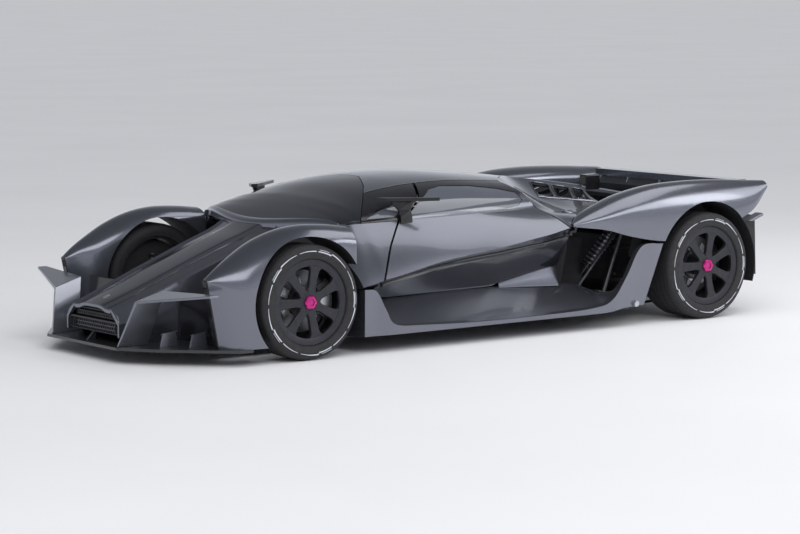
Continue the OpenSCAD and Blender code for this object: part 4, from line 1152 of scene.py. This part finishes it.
def make_wheel(side, s, end):
    front = end == "front"
    x, y, z, w = (front_axle_x, wheel_f_y, tyre_f_r, tyre_f_w) if front else (rear_axle_x, wheel_r_y, tyre_r_r, tyre_r_w)
    place = wheel_axes(x, y, z, s)
    body = "%s_%s_wheel" % (end, side)
    rim, spokes, hub, boss, face = wheel_shape(w)
    label = "%s_%s" % (end, side)
    mesh_piece("wheel_" + label + "_rim", moved(join(rim, hub, boss, *spokes), place), RIM, body=body, replaces=["wheel_" + label],
               slot="rim", bevel=1.5)
    nut = []
    for k in range(24):
        a, lobe = 2 * math.pi * k / 24, (1, 0.97, 0.86, 0.97)[k % 4]
        nut.append([(r * lobe * math.cos(a), r * lobe * math.sin(a), h) for r, h in (
            (43, face - 4), (43, face + 6), (38, face + 12), (27, face + 14), (23, face + 14), (20, face + 6), (8, face + 5))])
    nut = loft(list(zip(*nut)))
    mesh_piece("wheel_" + label + "_nut", moved(nut, place), NUT, body=body, slot="rim", angle=15)
    disc = revolve([(96, -disc_t), (disc_r, -disc_t), (disc_r, -disc_t + 13), (disc_r - 6, -disc_t + 13), (disc_r - 6, -13), (disc_r, -13),
                    (disc_r, 0), (96, 0)], 96)
    bell = revolve([(60, -4), (97, -4), (97, 2), (92, 10), (60, 10)], 64)
    mesh_piece("wheel_" + label + "_disc", moved(join(disc, bell), place), STEEL, body=body, slot="bare_alloy")
    lugs = []
    for k in range(spoke_count):
        a = 2 * math.pi * (k + 0.5) / spoke_count
        turn = lambda r, t, h: (r * math.cos(a) - t * math.sin(a), r * math.sin(a) + t * math.cos(a), h)
        for r0, r1, w0, w1, h0, h1 in ((100, 152, 25, 30, 0, 9), (112, 144, 14, 18, 9, 15)):
            lugs.append(loft([[turn(r0, -w0, h), turn(r0, w0, h), turn(r1, w1, h), turn(r1, -w1, h)] for h in (h0, h1)]))
        lugs += [loft([[turn(108 + 5 * math.cos(q), t + 5 * math.sin(q), h) for q in (2 * math.pi * j / 12 for j in range(12))]
                       for h in (9, 13)]) for t in (-20, 20)]
    mesh_piece("wheel_" + label + "_lugs", moved(join(*lugs), place), ALLOY, body=body, slot="bare_alloy", bevel=1.5)
    shield = revolve([(64, -62), (236, -62), (238, -52), (235, -52), (233, -59), (64, -59)], 96)
    mesh_piece("shield_" + label, moved(shield, place), LINER, body=side + "_knuckle" if front else "chassis", slot="bare_alloy")


def tyre_profile(r, w):
    pts = [(rim_r, -w / 2 + 14), (rim_r + 6, -w / 2 + 6), (rim_r + 16, -w / 2 + 4), (rim_r + 32, -w / 2 + 1), (r - 46, -w / 2),
           (r - 28, -w / 2 + 4), (r - 14, -w / 2 + 12), (r - 5, -w / 2 + 22), (r - 1.5, -w / 2 + 34)]
    groove = [(-0.36, 5), (-0.14, 6), (0.14, 6), (0.36, 5)]
    line = []
    for c, g in groove:
        line += [(r, c * (w - 68) - g), (r - 7, c * (w - 68) - g + 1), (r - 7, c * (w - 68) + g - 1), (r, c * (w - 68) + g)]
    return pts + line + [(a, -b) for a, b in pts[::-1]]


def make_tyre(side, s, end):
    front = end == "front"
    x, y, z, w, r = ((front_axle_x, wheel_f_y, tyre_f_r, tyre_f_w, tyre_f_r) if front
                     else (rear_axle_x, wheel_r_y, tyre_r_r, tyre_r_w, tyre_r_r))
    place = wheel_axes(x, y, z, s)
    body = "%s_%s_wheel" % (end, side)
    label = "%s_%s" % (end, side)
    mesh_piece("tyre_skin_" + label, moved(revolve(tyre_profile(r, w), 160), place), RUBBER, body=body,
               replaces=["tyre_" + label], slot="tyre_rubber", angle=28)
    marks = []
    ring = r - (38 if front else 46)
    step = 2 * math.pi / 5
    for k in range(5):
        for a0, a1, ra, rb, w0, w1 in ((0.03, 0.36, 0, 6, 1.2, 3.4), (0.355, 0.385, 9, -9, 2.4, 2.4), (0.38, 0.62, -3, -3, 3.4, 3.0),
                                       (0.66, 0.97, -2, 0, 2.6, 1.2), (0.42, 0.60, 8, 8, 1.2, 1.2)):
            n = max(3, int(30 * (a1 - a0)))
            pts = []
            for q in range(n + 1):
                f = q / n
                a = (k + a0 + (a1 - a0) * f) * step
                rr = ring + ra + (rb - ra) * f
                half = w0 + (w1 - w0) * f
                pts.append([((rr + d) * math.cos(a), (rr + d) * math.sin(a), w / 2 - 2 + h)
                            for d, h in ((-half, 0), (-half, 2.6), (half, 2.6), (half, 0))])
            marks.append(loft(pts))
    mesh_piece("tyre_marks_" + label, moved(join(*marks), place), MARK, body=body, slot="tyre_rubber")


for side, s in (("left", 1), ("right", -1)):
    for end in ("front", "rear"):
        make_wheel(side, s, end)
        make_tyre(side, s, end)

# ---------------------------------------------------------------- floor, light, camera


def make_stage():
    bpy.ops.mesh.primitive_plane_add(size=3000, location=(0, 0, -0.002))
    floor = bpy.context.object
    floor.name = "floor"
    m = plain("floor_pale", (0.80, 0.805, 0.82), 0.6, 0.0, 3, 0.02, 0.02)
    floor.data.materials.append(m)
    world = bpy.data.worlds.new("studio")
    bpy.context.scene.world = world
    world.use_nodes = True
    t = world.node_tree
    bg = t.nodes["Background"]
    co = t.nodes.new("ShaderNodeTexCoord")
    xyz = t.nodes.new("ShaderNodeSeparateXYZ")
    ramp = t.nodes.new("ShaderNodeValToRGB")
    t.links.new(co.outputs["Generated"], xyz.inputs[0])
    t.links.new(xyz.outputs["Z"], ramp.inputs["Fac"])
    t.links.new(ramp.outputs["Color"], bg.inputs["Color"])
    e = ramp.color_ramp.elements
    e[0].position, e[0].color = 0.0, (0.84, 0.86, 0.90, 1)
    e[1].position, e[1].color = 1.0, (0.10, 0.105, 0.12, 1)
    for pos, v in ((0.12, 0.66), (0.35, 0.30), (0.6, 0.16)):
        el = e.new(pos)
        el.color = (v * 0.94, v * 0.975, v * 1.07, 1)
    bg.inputs["Strength"].default_value = 1.0
    sun = bpy.data.objects.new("dome", bpy.data.lights.new("dome", "SUN"))
    sun.data.energy = 1.8
    sun.visible_glossy = False
    sun.data.angle = math.radians(75)
    sun.rotation_euler = Vector((0.25, 0.35, 0.9)).to_track_quat("Z", "Y").to_euler()
    bpy.context.collection.objects.link(sun)
    for name, loc, size, power, aim in (
            ("key", (5.0, 8.5, 6.5), (9.0, 4.0), 280, (0, 0, 0.4)),
            ("side", (-5.2, 7.6, 4.3), (7.5, 3.0), 190, (-0.4, 0.9, 0.5)), ("top", (-3.6, 2.0, 6.6), (6.0, 4.0), 130, (0.1, 0.9, 0.6)), ("tail", (-7.5, 4.0, 4.0), (5.0, 3.0), 90, (-1, 0, 0.6))):
        light = bpy.data.lights.new(name, "AREA")
        light.shape = "RECTANGLE"
        light.size, light.size_y = size
        light.energy = power
        o = bpy.data.objects.new(name, light)
        o.location = loc
        o.rotation_euler = (Vector(aim) - Vector(loc)).to_track_quat("-Z", "Y").to_euler()
        bpy.context.collection.objects.link(o)
    cam = bpy.data.cameras.new("camera")
    cam.lens = 124.75
    cam.sensor_width = 36
    cam.dof.use_dof = False
    o = bpy.data.objects.new("camera", cam)
    right, up, ahead = Vector((-0.809, 0.588, -0.006)), Vector((-0.069, -0.084, 0.994)), Vector((-0.584, -0.804, -0.108))
    right.normalize()
    back = -ahead.normalized()
    up = back.cross(right).normalized()
    back = right.cross(up).normalized()
    rot = Matrix((right, up, back)).transposed()
    o.matrix_world = Matrix.Translation((10.648, 14.675, 2.355)) @ rot.to_4x4()
    bpy.context.collection.objects.link(o)
    scene = bpy.context.scene
    scene.camera = o
    scene.view_settings.view_transform = "Standard"


make_stage()
